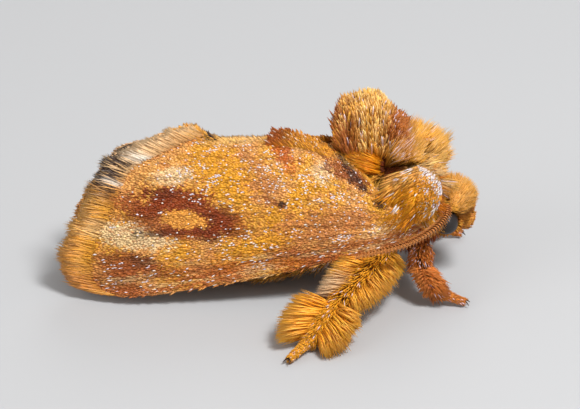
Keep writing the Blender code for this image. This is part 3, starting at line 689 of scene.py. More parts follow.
def fringe(side, rng, count):
    """Hairs of the outer margin in ragged layers, out to the line of the fringe tips: the wing's own
    colour at the foot, pale gold at the tip, with a grey and black patch above the middle."""
    t = rng.uniform(0.0, 1.0, count)
    s = 0.985 - 0.075 * rng.random(count) ** 0.8
    place, along, across, normal = wing_frame(s, t, side)
    last = np.full(count, 0.999 if side > 0 else 0.984)
    end, _, _, _ = wing_frame(last, np.clip(t + rng.normal(0, 0.010, count), 0, 1), side)
    lead = noise(stack(t * 12, 0, 0), 0.22, 33)
    share = (0.78 + 0.50 * lead) * rng.uniform(0.80, 1.04, count)
    reach = end - place + across * rng.normal(0, 0.03, count)[:, None]
    length = np.maximum(np.linalg.norm(end - place, axis=-1) * share, rng.uniform(0.08, 0.16, count))
    deep = rng.uniform(0.0, 0.15, count)
    place = place - normal * deep[:, None]
    top = 1 - step(0.33, 0.50, t)
    ground = wing_tone(s, t)
    tone = mix(ground, mix(OCHRE, FRINGE_PALE, 0.6 * top), 0.30 + 0.20 * top)
    tip = mix(mix(AMBER, HAIR, rng.random(count)), BROWN, 0.55 * rng.random(count) ** 2)
    tip = mix(tip, FRINGE_PALE, 0.45 * rng.random(count))
    tip = mix(tip, FRINGE_PALE, top * (0.55 + 0.40 * rng.random(count)))
    tip = mix(tip, RUST, 0.60 * step(0.60, 0.90, t) * rng.random(count))
    spot = (t - 0.405) / 0.092
    dark = mix(GREY, BLACKBROWN, rng.random(count))
    near = np.clip(1.8 * np.exp(-(spot**2)), 0, 1) * step(0.912, 0.932, s)
    tone = mix(tone, dark, 0.92 * near)
    core = np.exp(-(((spot + 0.27) / 0.45) ** 2)) + np.exp(-(((spot - 0.80) / 0.20) ** 2))
    tone = mix(tone, BLACKBROWN, np.clip(core, 0, 1) * step(0.920, 0.935, s))
    white = np.exp(-(((spot + 1.30) / 0.32) ** 2)) + 0.8 * np.exp(-(((spot - 0.42) / 0.12) ** 2))
    tone = mix(tone, PALE, np.clip(white, 0, 1) * step(0.972, 0.955, s))
    grey = mix(dark, PALE, 0.30 * (rng.random(count) < 0.18))
    tip = mix(tip, grey, near)
    shade = rng.uniform(0.80, 1.22, count)[:, None]
    bend = across * rng.normal(0, 0.07, count)[:, None] + normal * rng.normal(0.03, 0.08, count)[:, None]
    width = rng.uniform(0.024, 0.050, count)
    return blades(
        place, reach, bend, length, width, 0.012, normal,
        tone * shade, tip * shade, wing_uv(s, t), end=0.3
    )


def margin_hairs(side, rng, count):
    """Hairs along the inner margin: short ones that lie back along it, and longer ones that reach
    level over the gap to the other wing. A small tuft near the outer end is dark."""
    s = rng.uniform(0.05, 0.95, count)
    t = rng.uniform(0.0, 0.05, count)
    place, along, across, normal = wing_frame(s, t, side)
    place = place - normal * MEMBRANE_DEPTH
    bridge = rng.random(count) < 0.70
    lying = along - across * rng.uniform(0.05, 0.45, count)[:, None]
    lying = lying + normal * rng.uniform(0.0, 0.30, count)[:, None]
    level = along * rng.uniform(0.1, 0.8, count)[:, None] + mirrored((0.0, 1.0, -0.08), side)
    way = np.where(bridge[:, None], level, lying)
    dark = 2.2 * np.exp(-(((s - 0.872) / 0.015) ** 2)) * (t < 0.026)
    length = np.where(bridge, rng.uniform(0.34, 0.60, count), rng.uniform(0.12, 0.26, count))
    tone = mix(wing_tone(s, t), HAIR, 0.25)
    tone = mix(tone, BLACKBROWN, np.clip(dark, 0, 1))
    shade = rng.uniform(0.8, 1.2, count)[:, None]
    width = rng.uniform(0.028, 0.052, count)
    tone = tone * shade
    # Painted shade: the foot of each hair is darker than its tip.
    return blades(place, way, 0, length, width, 0.012, normal, tone * 0.9, tone, wing_uv(s, t))


def ridge_tuft(side, rng, count):
    """Tuft of brown-tipped scales that stands up from the inner margin."""
    s = rng.uniform(*RIDGE_SPAN, count)
    t = rng.uniform(0.0, 0.075, count)
    place, along, across, normal = wing_frame(s, t, side)
    place = place - normal * MEMBRANE_DEPTH
    k = (s - RIDGE_SPAN[0]) / (RIDGE_SPAN[1] - RIDGE_SPAN[0])
    way = mirrored((-0.35, 0.30, 1.0), side) + along * rng.normal(0.05, 0.14, count)[:, None]
    way = way + across * rng.normal(0, 0.15, count)[:, None]
    hump = (0.55 + 0.45 * step(0.2, 0.8, k)) * (1 - step(0.90, 1.02, k)) * step(-0.1, 0.15, k)
    length = 0.52 * hump * rng.uniform(0.65, 1.05, count) * (1 - 5 * t)
    bend = mirrored((-0.16, -0.20, 0.0), side)
    shade = rng.uniform(0.75, 1.15, count)[:, None]
    foot = mix(AMBER, RUST, 0.8 * step(0.5, 0.9, k)) * shade
    tip = mix(mix(AMBER, BROWN, rng.random(count)), REDBROWN, 0.90 * step(0.40, 0.80, k))
    tip = mix(tip, PALE, 0.6 * (rng.random(count) < 0.08)) * shade
    width = rng.uniform(0.04, 0.075, count)
    return blades(
        place, way, bend, length, width, 0.014, normal, foot, tip, wing_uv(s, t), end=0.45, blunt=0.95
    )


def hindwing_parts(side, rng):
    """The hindwing under the forewing: a thin plate over part of the forewing's chart, with scales
    and a fringe at its end."""
    span, width, lift = HINDWING_SPAN, HINDWING_WIDTH, HINDWING_LIFT
    plate = membrane(side, lift, span, width, 0.12, 60, 40, 0.5)
    s, t = rows_of_scales(rng, span, width, 90, 26)
    place, along, across, normal = wing_frame(s, t, side)
    place = place - normal * lift
    n = len(s)
    tone = mix(PINKTAN, TAN, rng.random(n)) * rng.uniform(0.75, 1.05, n)[:, None]
    length, lift_share = rng.uniform(0.2, 0.3, n), rng.uniform(0.05, 0.25, n)
    scales = kites(place, along, normal, length, 0.09, lift_share, tone, wing_uv(s, t))
    n = 900
    t = rng.uniform(*width, n)
    s = rng.uniform(0.73, 0.765, n)
    place, along, across, normal = wing_frame(s, t, side)
    place = place - normal * (lift + 0.05)
    length = rng.uniform(0.25, 0.36, n)
    hair = blades(place, along, 0, length, 0.04, 0.014, normal, TAN, PINKTAN, wing_uv(s, t))
    return plate, join([scales, hair])


# Body


def body_place(x, angle):
    """Surface point of the body at x and at an angle from the top to the animal's left, and outwards."""
    fine = smooth_curve(BODY_STATIONS, np.linspace(0, 1, 500))
    wide, high, middle = (np.interp(x, fine[:, 0], fine[:, k]) for k in (1, 2, 3))
    place = stack(x, wide * np.sin(angle), middle + high * np.cos(angle))
    out = stack(0, np.sin(angle) / wide, np.cos(angle) / high)
    return place, unit(out)


def body_uv(x, angle):
    """Place on the body's unwrap: along X, and round the body from its underside."""
    low, high = BODY_STATIONS[0][0], BODY_STATIONS[-1][0]
    along = 0.02 + 0.96 * (x - low) / (high - low)
    return stack(along, 0.02 + 0.96 * (angle / (2 * math.pi) + 0.5))


def body_tone(place):
    """Colour of the coat at a place on the body: golden brown, with the markings as soft balls."""
    p = np.array(place, float)
    p[..., 1] = np.abs(p[..., 1])
    tone = mix(HAIR, OCHRE, noise(place, 0.35, 41))
    tone = mix(tone, AMBER, step(0.55, 0.8, noise(place, 0.8, 42)) * 0.6)
    tone = mix(tone, TAN, step(-2.3, -2.8, p[..., 0]) * 0.7)
    ragged = 0.25 * (noise(place, 0.14, 43) - 0.5)
    for colour, x, y, z, radius, strength in BODY_MARKS:
        reach = np.linalg.norm(p - np.array([x, y, z]), axis=-1) / radius + ragged
        tone = mix(tone, colour, strength * (1 - step(0.5, 1.15, reach)))
    return tone


def body_skin():
    """Skin of head, thorax and abdomen: ellipses across X whose sizes follow a smooth curve through
    the stations, with soft rings round the abdomen."""
    rows, columns = 190, 91
    fine = smooth_curve(BODY_STATIONS, np.linspace(0, 1, rows))
    angle = np.linspace(-math.pi, math.pi, columns)
    x = fine[:, 0]
    ring = 1 + 0.03 * np.cos(2 * math.pi * x / 0.62) * step(-2.3, -2.9, x)
    y = (fine[:, 1] * ring)[:, None] * np.sin(angle)
    z = fine[:, 3][:, None] + (fine[:, 2] * ring)[:, None] * np.cos(angle)
    points = stack(x[:, None], y, z)
    # Painted shade: the skin takes the coat's colours at 0.55 brightness, as it lies in the shade under the
    # coat.
    tones = body_tone(points) * 0.55
    uvs = body_uv(points[..., 0], np.broadcast_to(angle, y.shape))
    faces = grid_faces(rows, columns)[:, ::-1]
    return points.reshape(-1, 3), faces, tones.reshape(-1, 3), uvs.reshape(-1, 2)


def over_surface(place, out, source):
    """Direction along the surface away from a source point, and the distance from that point."""
    away = place - source
    away = away - out * np.sum(away * out, axis=-1, keepdims=True)
    reach = np.linalg.norm(away, axis=-1)
    return away / np.maximum(reach, 1e-6)[:, None], reach


def body_roots(rng, count, stations, degrees, sign=1):
    """Random roots on the body between two stations and two angles: x, angle, place and outwards."""
    x = rng.uniform(*stations, count)
    angle = np.radians(rng.uniform(*degrees, count)) * sign
    return x, angle, *body_place(x, angle)


def combed(rng, count, stations, degrees, sign, lean, ahead, scatter):
    """Random roots on the body with the way of their hairs: outwards by lean, with a fixed direction
    and a random scatter added. Gives place, outwards, way and the place on the unwrap."""
    x, angle, place, out = body_roots(rng, count, stations, degrees, sign)
    way = out * lean + ahead + rng.normal(0, scatter, (count, 3))
    return place, out, way, body_uv(x, angle)


def thorax_hair(rng, count):
    """Hair of the thorax: combed over the surface away from a parting on each side of the crest,
    long on top, short at the parting and the sides. Each hair leans to the middle of its tuft."""
    tufts = 300
    x, angle, place, out = body_roots(rng, count, (-1.40, 0.28), (-112, 112))
    middle_x, middle_angle, goal, goal_out = body_roots(rng, tufts, (-1.40, 0.28), (-112, 112))
    near = np.argmin((x[:, None] - middle_x) ** 2 + (angle[:, None] - middle_angle) ** 2, axis=1)
    across, ahead = np.array([0, PARTING[1], 0]), np.array([PARTING[0], 0, PARTING[2]])
    flow, reach = over_surface(place, out, ahead + across * np.sign(place[:, 1:2]))
    goal_flow, _ = over_surface(goal, goal_out, ahead + across * np.sign(goal[:, 1:2]))
    side = np.abs(np.degrees(angle))
    lean = (0.74 - 0.34 * step(30, 62, side))[:, None]
    goal_lean = (0.74 - 0.34 * step(30, 62, np.abs(np.degrees(middle_angle))))[:, None]
    goal_way = unit(goal_lean * goal_out + 0.68 * goal_flow) + rng.normal(0, 0.12, (tufts, 3))
    own = unit(lean * out + 0.68 * flow)
    aim = unit(goal[near] + goal_way[near] - place)
    way = 0.38 * own + 0.62 * aim + rng.normal(0, 0.04, (count, 3))
    length = (0.24 + 0.84 * step(0.20, 0.50, reach)) * (1 - 0.42 * step(30, 70, side))
    length = length * rng.uniform(0.78, 1.14, tufts)[near] * rng.uniform(0.66, 1.02, count)
    tone = mix(body_tone(place), RUST, 0.12 * rng.random(tufts)[near])
    # Painted light and shade: each tuft has its own brightness, standing in for the light and shade between
    # tufts. Below, the foot of each hair is painted at half brightness as shade among the roots, and the tip
    # a little lighter.
    shade = (rng.uniform(0.66, 1.16, tufts)[near] * rng.uniform(0.74, 1.18, count))[:, None]
    white = rng.random(count) < 0.045 * step(0.25, 0.45, reach)
    pale = 0.14 * rng.random(count) * step(0.25, 0.45, reach)
    tip = np.where(white[:, None], mix(tone, LILAC, 0.7), mix(tone, CREAM, pale))
    bend = -0.10 * out + rng.normal(0, 0.05, (count, 3))
    flat = out + rng.normal(0, 0.5, (count, 3))
    return blades(
        place, way, bend, length, rng.uniform(0.024, 0.050, count), 0.012, flat,
        tone * 0.50 * shade, tip * 1.06 * shade, body_uv(x, angle), 0.06, 0.15
    )


def shoulder_tuft(rng, count):
    """Long hairs in front of the crest that fill the saddle up to the line from the crest's front to
    the collar: golden at the foot, brown and lilac at the tips towards the crest."""
    x, angle, place, out = body_roots(rng, count, (-1.00, -0.10), (-34, 34))
    forward = (x + 1.0) / 0.9
    way = out * 0.95 + np.array([0.24, 0, 0]) + rng.normal(0, 0.08, (count, 3))
    high = 1.34 - 0.46 * forward - 0.22 * step(8, 34, np.abs(np.degrees(angle)))
    lead = noise(place, 0.16, 51)
    length = high * (0.84 + 0.24 * lead) * rng.uniform(0.55, 1.02, count)
    tone = mix(HAIR, OCHRE, rng.random(count))
    back = step(0.80, 0.40, forward)
    tip = mix(tone, BROWN, back * (0.35 + 0.5 * lead))
    tip = mix(tip, LILAC, 0.6 * (rng.random(count) < 0.13 * back + 0.02))
    # Painted light and shade: longer tufts are lighter and shorter ones darker. Below, the foot of each hair
    # is darker than its tip as painted shade among the roots.
    shade = ((0.62 + 0.62 * lead) * rng.uniform(0.76, 1.16, count))[:, None]
    return blades(
        place, way, (0.12, 0, -0.06), length, rng.uniform(0.028, 0.054, count), 0.012, out,
        tone * 0.54 * shade, tip * shade, body_uv(x, angle), 0.06, 0.35
    )


def collar_hair(rng, count):
    """Broad hairs of the collar, leaning over the back of the head in loose tufts."""
    x = rng.uniform(-0.05, 0.26, count)
    tufts = 23
    tuft = rng.integers(0, tufts, count)
    middle = np.linspace(-76, 76, tufts)[tuft]
    angle = np.radians(middle + rng.normal(0, 3.0, count))
    place, out = body_place(x, angle)
    lead = np.random.default_rng(5).uniform(0.80, 1.06, tufts)[tuft]
    sway = np.random.default_rng(6).normal(0, 0.14, (tufts, 3))[tuft]
    way = out * 0.95 + np.array([0.70, 0, 0]) + sway + rng.normal(0, 0.06, (count, 3))
    length = 1.06 * (1 - 0.40 * np.abs(np.sin(angle))) * lead * rng.uniform(0.60, 1.02, count)
    tone = mix(HAIR, AMBER, rng.random(count) * 0.7)
    tone = mix(tone, DEEP_ORANGE, 0.8 * step(30, 46, np.abs(np.degrees(angle))))
    tone = mix(tone, RUST, 0.75 * step(38, 60, np.abs(np.degrees(angle))) * rng.random(count))
    # Painted light and shade: longer tufts are lighter and shorter ones darker. Below, the foot of each hair
    # is painted darker as shade among the roots and the tip lighter.
    shade = (0.20 + 0.66 * lead[:, None]) * rng.uniform(0.72, 1.18, count)[:, None]
    tip = mix(tone, PALE, 0.18 * rng.random(count) * step(46, 30, np.abs(np.degrees(angle))))
    return blades(
        place, way, (0.06, 0, -0.02), length, rng.uniform(0.034, 0.064, count), 0.014, out,
        tone * 0.52 * shade, tip * 1.10 * shade, body_uv(x, angle), 0.06, 0.1
    )


def crest_scales(rng, count):
    """Crest of the thorax: blunt scales in many layers, the lower ones leaning out from its sides,
    fanned fore and aft up to a rounded profile, brown at its back edge and low at its front."""
    profile = np.array(CREST_PROFILE)
    k = rng.uniform(0, 1, count)
    y = rng.uniform(-0.38, 0.38, count)
    root_x = CREST_ROOTS_X[0] + (CREST_ROOTS_X[1] - CREST_ROOTS_X[0]) * k
    place, out = body_place(root_x, y * 0.9)
    tip_x = profile[0, 0] + (profile[-1, 0] - profile[0, 0]) * k
    tip_z = np.interp(tip_x, profile[:, 0], profile[:, 1]) - 0.9 * np.abs(y) ** 2
    top = stack(tip_x, y * 1.25, tip_z)
    reach = top - place
    full = np.linalg.norm(reach, axis=-1)
    share = rng.uniform(0, 0.80, count)
    root = place + reach * share[:, None]
    sign = np.sign(y)
    near = np.abs(y) / 0.38
    fore = 0.10 * (k - 0.5) + 0.30 * step(0.70, 1.0, k)
    way = unit(reach) + stack(fore, 0.42 * sign * near * (1 - share), 0)
    sway = noise(stack(k * 7, y * 6 + 5, 0), 0.8, 49) - 0.5
    way = way + rng.normal(0, 0.07, (count, 3)) + stack(0.7 * sway, 0, 0)
    length = np.minimum(full * (1 - share), rng.uniform(0.48, 1.05, count)) * rng.uniform(0.80, 1.05, count)
    edge = step(0.40, 0.06, k)
    high = share + 0.5 * length / full
    front = step(0.72, 0.86, k) * step(0.30, 0.50, high)
    plume = noise(stack(k * 11, y * 5 + 3, 0), 0.8, 48)
    tone = mix(mix(OCHRE, HAIR, rng.random(count)), BROWN, 0.55 * step(0.50, 0.80, 1 - plume) * (1 - 0.6 * k))
    tone = mix(tone, CREAM, 0.35 * step(0.55, 0.80, plume))
    tone = mix(tone, ORANGE, 0.7 * step(0.35, 0.10, high))
    tone = mix(tone, BROWN, 0.65 * edge * step(1.0, 0.3, share))
    tone = mix(tone, BROWN, 0.75 * front)
    tip = mix(tone, CREAM, 0.55 * rng.random(count) * (1 - front) * (1 - edge))
    tip = mix(tip, REDBROWN, np.clip(0.70 * edge * (share < 0.7) + 0.45 * front, 0, 1))
    tip = mix(tip, REDBROWN, 0.6 * (rng.random(count) < 0.07))
    tip = mix(tip, LILAC, 0.65 * (rng.random(count) < 0.04))
    # The plume noise also sets the brightness: painted light and shade between the plumes, besides their
    # colour. Below, the foot is a little darker than the tip as painted shade among the roots.
    shade = (plume * 0.6 + 0.72) * rng.uniform(0.76, 1.22, count)
    shade = shade[:, None]
    flat = stack(0.4 * rng.normal(0, 1, count), sign, 0)
    return blades(
        root, way, (-0.04, 0, 0), length, rng.uniform(0.034, 0.066, count), 0.013, flat,
        tone * 0.92 * shade, tip * shade, body_uv(root_x, y * 0.9), 0.06, 0.2, 1.0
    )


def back_brush(rng, count, side):
    """Bright orange brush beside the crest, combed back along the wing's inner margin."""
    place, out, way, uv = combed(rng, count, (-1.85, -1.00), (16, 46), -side, 0.55, (-0.88, 0, 0.14), 0.06)
    length = rng.uniform(0.55, 0.95, count)
    tone = mix(mix(ORANGE, DEEP_ORANGE, rng.random(count)), REDBROWN, 0.22 * rng.random(count))
    tone = tone * rng.uniform(0.80, 1.18, count)[:, None]
    width = rng.uniform(0.024, 0.046, count)
    # Painted shade: the foot of each hair is darker than its tip.
    return blades(place, way, (0, 0, -0.04), length, width, 0.012, out, tone * 0.70, tone * 1.05, uv)


def hip_hair(rng, count, side):
    """Red-brown hair over the hips of the forelegs, below the wing's base, combed down and out."""
    ahead = mirrored((0.05, -0.55, -0.35), side)
    place, out, way, uv = combed(rng, count, (-0.75, 0.42), (96, 150), -side, 0.75, ahead, 0.14)
    tone = mix(mix(REDBROWN, RUST, rng.random(count)), LILAC, 0.7 * (rng.random(count) < 0.06))
    tone = tone * rng.uniform(0.75, 1.12, count)[:, None]
    length, width = rng.uniform(0.35, 0.62, count), rng.uniform(0.024, 0.046, count)
    # Painted shade: the foot of each hair is darker than its tip.
    return blades(place, way, (0, 0, -0.15), length, width, 0.012, out, tone * 0.8, tone, uv)


def shoulder_hair(rng, count, side):
    """Golden hair between the shoulder plate, the wing's base and the head, combed forward and down."""
    ahead = (0.50, 0, -0.25)
    place, out, way, uv = combed(rng, count, (-0.16, 0.42), (60, 112), -side, 0.75, ahead, 0.12)
    tone = mix(mix(ORANGE, HAIR, rng.random(count)), PALE, 0.75 * (rng.random(count) < 0.14))
    tone = tone * rng.uniform(0.84, 1.18, count)[:, None]
    length, width = rng.uniform(0.35, 0.62, count), rng.uniform(0.022, 0.042, count)
    # Painted shade: the foot of each hair is darker than its tip.
    return blades(place, way, (-0.08, 0, -0.12), length, width, 0.012, out, tone * 0.85, tone, uv)


def side_hair(rng, count):
    """Short hair of the chest and the sides below the wings, lying back and down."""
    x = rng.uniform(-2.1, 0.5, count)
    angle = np.radians(rng.uniform(80, 180, count)) * rng.choice([-1, 1], count)
    place, out = body_place(x, angle)
    way = out * 0.45 + np.array([-0.55, 0, -0.45]) + rng.normal(0, 0.16, (count, 3))
    tone = mix(body_tone(place), BROWN, 0.3) * rng.uniform(0.7, 1.1, count)[:, None]
    length, width = rng.uniform(0.26, 0.46, count), rng.uniform(0.03, 0.055, count)
    uv = body_uv(x, angle)
    # Painted shade: the foot of each hair is darker than its tip.
    return blades(place, way, (0, 0, -0.08), length, width, 0.014, out, tone * 0.75, tone, uv)


def abdomen_hair(rng, count):
    """Hair of the abdomen lying back along it, longest round the tail end."""
    x, angle, place, out = body_roots(rng, count, (-6.55, -2.1), (-180, 180))
    tail = step(-5.7, -6.3, x)
    way = out * (0.40 - 0.22 * tail)[:, None] + np.array([-0.9, 0, -0.05]) + rng.normal(0, 0.08, (count, 3))
    length = rng.uniform(0.28, 0.42, count) * (1 + 1.0 * tail)
    tone = body_tone(place) * rng.uniform(0.72, 1.1, count)[:, None]
    width = rng.uniform(0.035, 0.065, count)
    uv = body_uv(x, angle)
    # Painted shade: the foot of each hair is darker than its tip.
    return blades(place, way, (0, 0, -0.06), length, width, 0.014, out, tone * 0.62, tone, uv)


def off_eye(place, factor, half_width):
    """True where a place on the head isn't in the way of an eye."""
    reach = np.hypot(place[:, 0] - EYE_CENTRE[0], place[:, 2] - EYE_CENTRE[2])
    return (reach >= EYE_RADIUS * factor) | (np.abs(place[:, 1]) <= half_width)


def head_hair(rng, count):
    """Hair of the head: on the crown it leans forward, on the brow it fans out, at the sides it lies
    over the cheek in the same fan, and round the eyes it is left off."""
    lift = np.radians(rng.uniform(-35, 100, count))
    turn = np.radians(rng.uniform(-88, 88, count))
    way = stack(np.cos(lift) * np.cos(turn), np.sin(turn), np.sin(lift) * np.cos(turn))
    centre = np.array([0.84, 0, 2.04])
    place = centre + way * np.array([0.40, 0.54, 0.48])
    keep = off_eye(place, 0.98, 0.36)
    place, way, lift, turn = place[keep], way[keep], lift[keep], turn[keep]
    n = len(place)
    fan = stack(np.cos(lift), 0, np.sin(lift))
    way = way * np.array([1.0, 0.45, 1.0]) + 0.40 * fan + np.array([0.06, 0, 0.10])
    degrees = np.degrees(lift)
    length = (0.30 + 0.24 * step(0, 30, degrees)) * (1 - 0.30 * step(45, 80, np.degrees(np.abs(turn))))
    length = length * rng.uniform(0.62, 1.05, n)
    tone = mix(mix(HAIR, OCHRE, rng.random(n)), DEEP_ORANGE, 0.35 * rng.random(n) ** 2)
    low = step(20, -8, degrees)
    tone = mix(tone, RUST, 0.50 * low)
    tip = mix(tone, PALE, 0.20 * rng.random(n) ** 2 * (1 - low))
    tip = mix(tip, BROWN, 0.80 * np.exp(-(((degrees - 8) / 8.0) ** 2)))
    tuft = noise(place, 0.13, 52)
    way = way + (tuft[:, None] - 0.5) * np.array([0.5, 0.0, -0.5])
    # Painted light and shade between tufts: the brightness follows the tuft noise. Below, the foot of each
    # hair is darker than its tip as painted shade among the roots.
    shade = ((0.54 + 0.60 * tuft) * rng.uniform(0.76, 1.18, n))[:, None]
    flat = stack(-np.sin(lift), 0, np.cos(lift))
    bend = stack(0, 0, 0.12 * step(0, 30, degrees) - 0.04)
    return blades(
        place, way + rng.normal(0, 0.06, (n, 3)), bend, length, rng.uniform(0.022, 0.044, n), 0.011, flat,
        tone * 0.66 * shade, tip * shade, body_uv(place[:, 0], turn), end=0.3
    )


def nape_hair(rng, count):
    """Hair between the head's crown and the collar and under the throat, leaning forward."""
    x, angle, place, out = body_roots(rng, count, (0.26, 0.86), (-180, 180))
    keep = off_eye(place, 1.02, 0.34)
    x, angle, place, out = x[keep], angle[keep], place[keep], out[keep]
    n = len(x)
    top = step(110, 60, np.abs(np.degrees(angle)))
    way = out * 0.75 + np.array([0.50, 0, 0]) + rng.normal(0, 0.09, (n, 3))
    tone = mix(mix(HAIR, OCHRE, rng.random(n)), RUST, 0.7 * (1 - top))
    tone = tone * rng.uniform(0.78, 1.16, n)[:, None]
    length = (0.22 + 0.22 * top) * rng.uniform(0.65, 1.0, n)
    width = rng.uniform(0.020, 0.038, n)
    uv = body_uv(x, angle)
    # Painted shade: the foot of each hair is darker than its tip.
    return blades(place, way, (0.1, 0, 0), length, width, 0.010, out, tone * 0.8, tone, uv)


# Shoulder plates


def tegula_place(reach, turn, side, lower=0.0):
    """Place on the shoulder plate's dome at a share of its radius and an angle about its middle."""
    x = TEGULA_MIDDLE[0] + TEGULA_HALF[0] * reach * np.cos(turn)
    round_angle = np.radians(TEGULA_MIDDLE[1] + TEGULA_HALF[1] * reach * np.sin(turn))
    radius = TEGULA_INNER[0] + TEGULA_RIM + TEGULA_DOME * np.sqrt(np.clip(1 - reach**2, 0, 1)) - lower
    tall = TEGULA_INNER[1] / TEGULA_INNER[0]
    y = -radius * np.sin(round_angle)
    z = TEGULA_AXIS_HEIGHT + radius * tall * np.cos(round_angle)
    out = stack(reach * np.cos(turn) * 0.5, -np.sin(round_angle), np.cos(round_angle))
    return mirrored(stack(x, y, z), side), mirrored(unit(out), side)


def tegula_uv(reach, turn):
    """Place on the shoulder plate's unwrap: a disc seen from outside."""
    return stack(0.5 + 0.47 * reach * np.cos(turn), 0.5 + 0.47 * reach * np.sin(turn))


def tegula_tone(reach, turn, rng):
    """Colour of the shoulder plate: orange, more golden in front and paler at the top."""
    n = np.shape(reach)
    fore = reach * np.cos(turn)
    tone = mix(ORANGE, HAIR, 0.7 * step(-0.2, 0.7, fore))
    tone = mix(tone, DEEP_ORANGE, 0.65 * rng.random(n))
    return mix(tone, CREAM, 0.30 * step(-0.1, -0.8, reach * np.sin(turn)))


def tegula_shell(side):
    """The plate's shell: a dome and the inner face under it, joined at the rim."""
    rng = np.random.default_rng(61)
    turn = np.linspace(0, 2 * math.pi, 61)
    reach = np.concatenate([np.sin(np.linspace(0.001, math.pi / 2, 22)), [1.0, 0.7, 0.35, 0.001]])
    lower = np.concatenate([np.full(22, 0.05), [0.16, 0.42, 0.50, 0.52]])
    r, a = np.meshgrid(reach, turn, indexing="ij")
    place, _ = tegula_place(r, a, side, lower[:, None])
    faces = grid_faces(*r.shape)
    if side < 0:
        faces = faces[:, ::-1]
    # Painted shade: the shell takes the scales' colours at 0.6 brightness, as it lies in the shade under
    # them.
    tones = tegula_tone(r, a, rng) * 0.6
    return place.reshape(-1, 3), faces, tones.reshape(-1, 3), tegula_uv(r, a).reshape(-1, 2)


def tegula_scales(side, rng, count):
    """Scales of the plate, combed down and back, some of them white on its front half, with longer
    hairs round its back edge."""
    reach = np.sqrt(rng.uniform(0, 1, count))
    turn = rng.uniform(0, 2 * math.pi, count)
    place, out = tegula_place(reach, turn, side, 0.05)
    way = mirrored((-0.75, -0.30, -0.60), side) + rng.normal(0, 0.14, (count, 3))
    way = unit(way - out * np.sum(way * out, axis=-1, keepdims=True))
    fore = reach * np.cos(turn)
    tone = tegula_tone(reach, turn, rng)
    top = step(-0.1, -0.8, reach * np.sin(turn))
    white = rng.random(count) < 0.03 + 0.22 * step(-0.15, 0.45, fore) + 0.05 * top
    tone = tone * rng.uniform(0.80, 1.20, count)[:, None]
    tone = np.where(white[:, None], mix(LILAC, PALE, rng.random(count)), tone)
    rim = step(0.55, 0.95, reach)
    length = np.where(fore < -0.1, rng.uniform(0.28, 0.50, count), rng.uniform(0.14, 0.26, count))
    length = length * (1 + 0.75 * rim + 0.5 * rim * step(-0.2, -0.8, fore)) * np.where(white, 0.62, 1.0)
    width = rng.uniform(0.028, 0.056, count)
    lift = (0.14 + 0.45 * rng.random(count) ** 1.5 + 0.50 * white)[:, None]
    tuft = noise(place, 0.15, 62)[:, None]
    way = way + (tuft - 0.5) * mirrored((0.9, 0.0, 0.7), side)
    # Painted light and shade between tufts: the brightness of all but the white scales follows the tuft
    # noise. Below, the foot of each scale is darker than its tip as painted shade.
    tone = tone * np.where(white[:, None], 1.0, 0.66 + 0.62 * tuft)
    way = way + out * lift
    uv = tegula_uv(reach, turn)
    return blades(place, way, 0, length, width, 0.010, out, tone * 0.66, tone, uv, 0.03)


# Eyes


def eye_dome(side):
    """Compound eye: a cap of an ellipsoid covered with small hexagonal lenses, whose height is the
    sum of three cosine waves turned by a third of a half turn."""
    radius = np.linspace(0, 1, 90)
    turn = np.linspace(0, 2 * math.pi, 181)
    r, a = np.meshgrid(radius, turn, indexing="ij")
    bow = r * math.pi / 2
    x = EYE_RADIUS * np.sin(bow) * np.cos(a)
    z = EYE_RADIUS * 1.02 * np.sin(bow) * np.sin(a)
    high = EYE_BULGE * np.cos(bow)
    pitch = 2 * math.pi / 0.030
    flat_x, flat_z = EYE_RADIUS * bow * np.cos(a), EYE_RADIUS * bow * np.sin(a)
    waves = np.zeros(r.shape)
    for q in (0, math.pi / 3, 2 * math.pi / 3):
        waves += np.cos(pitch * (flat_x * math.cos(q) + flat_z * math.sin(q)))
    lens = 0.0022 * waves
    y = -(EYE_CENTRE[1] + high + lens * np.cos(bow))
    points = stack(EYE_CENTRE[0] + x * (1 + lens), y, EYE_CENTRE[2] + z * (1 + lens))
    # Painted highlight and shade: each lens is lighter at its crown and darker in the hollows between lenses.
    tone = EYE_GREY * (0.75 + 0.12 * waves[..., None])
    uvs = stack(0.5 + 0.47 * r * np.cos(a), 0.5 + 0.47 * r * np.sin(a))
    faces = grid_faces(*r.shape)
    if side > 0:
        faces = faces[:, ::-1]
    return mirrored(points, side).reshape(-1, 3), faces, tone.reshape(-1, 3), uvs.reshape(-1, 2)


def eye_rim(side, rng, count):
    """Small scales round the eye, pointing away from it."""
    turn = rng.uniform(0, 2 * math.pi, count)
    reach = EYE_RADIUS * rng.uniform(1.0, 1.22, count)
    x = EYE_CENTRE[0] + reach * np.cos(turn)
    z = EYE_CENTRE[2] + reach * np.sin(turn)
    y = -(0.50 - 0.5 * (reach - EYE_RADIUS))
    place = mirrored(stack(x, y, z), side)
    out = mirrored((0, -1, 0), side)
    way = stack(np.cos(turn), 0, np.sin(turn)) + 0.5 * out
    tone = mix(RUST, HAIR, rng.random(count)) * rng.uniform(0.7, 1.1, count)[:, None]
    length = rng.uniform(0.08, 0.15, count)
    # Painted shade: the foot of each scale is darker than its tip.
    return blades(place, way, 0, length, 0.04, 0.012, out, tone * 0.7, tone, body_uv(x, turn * 0.1))


# Tubes, feelers, palps and legs


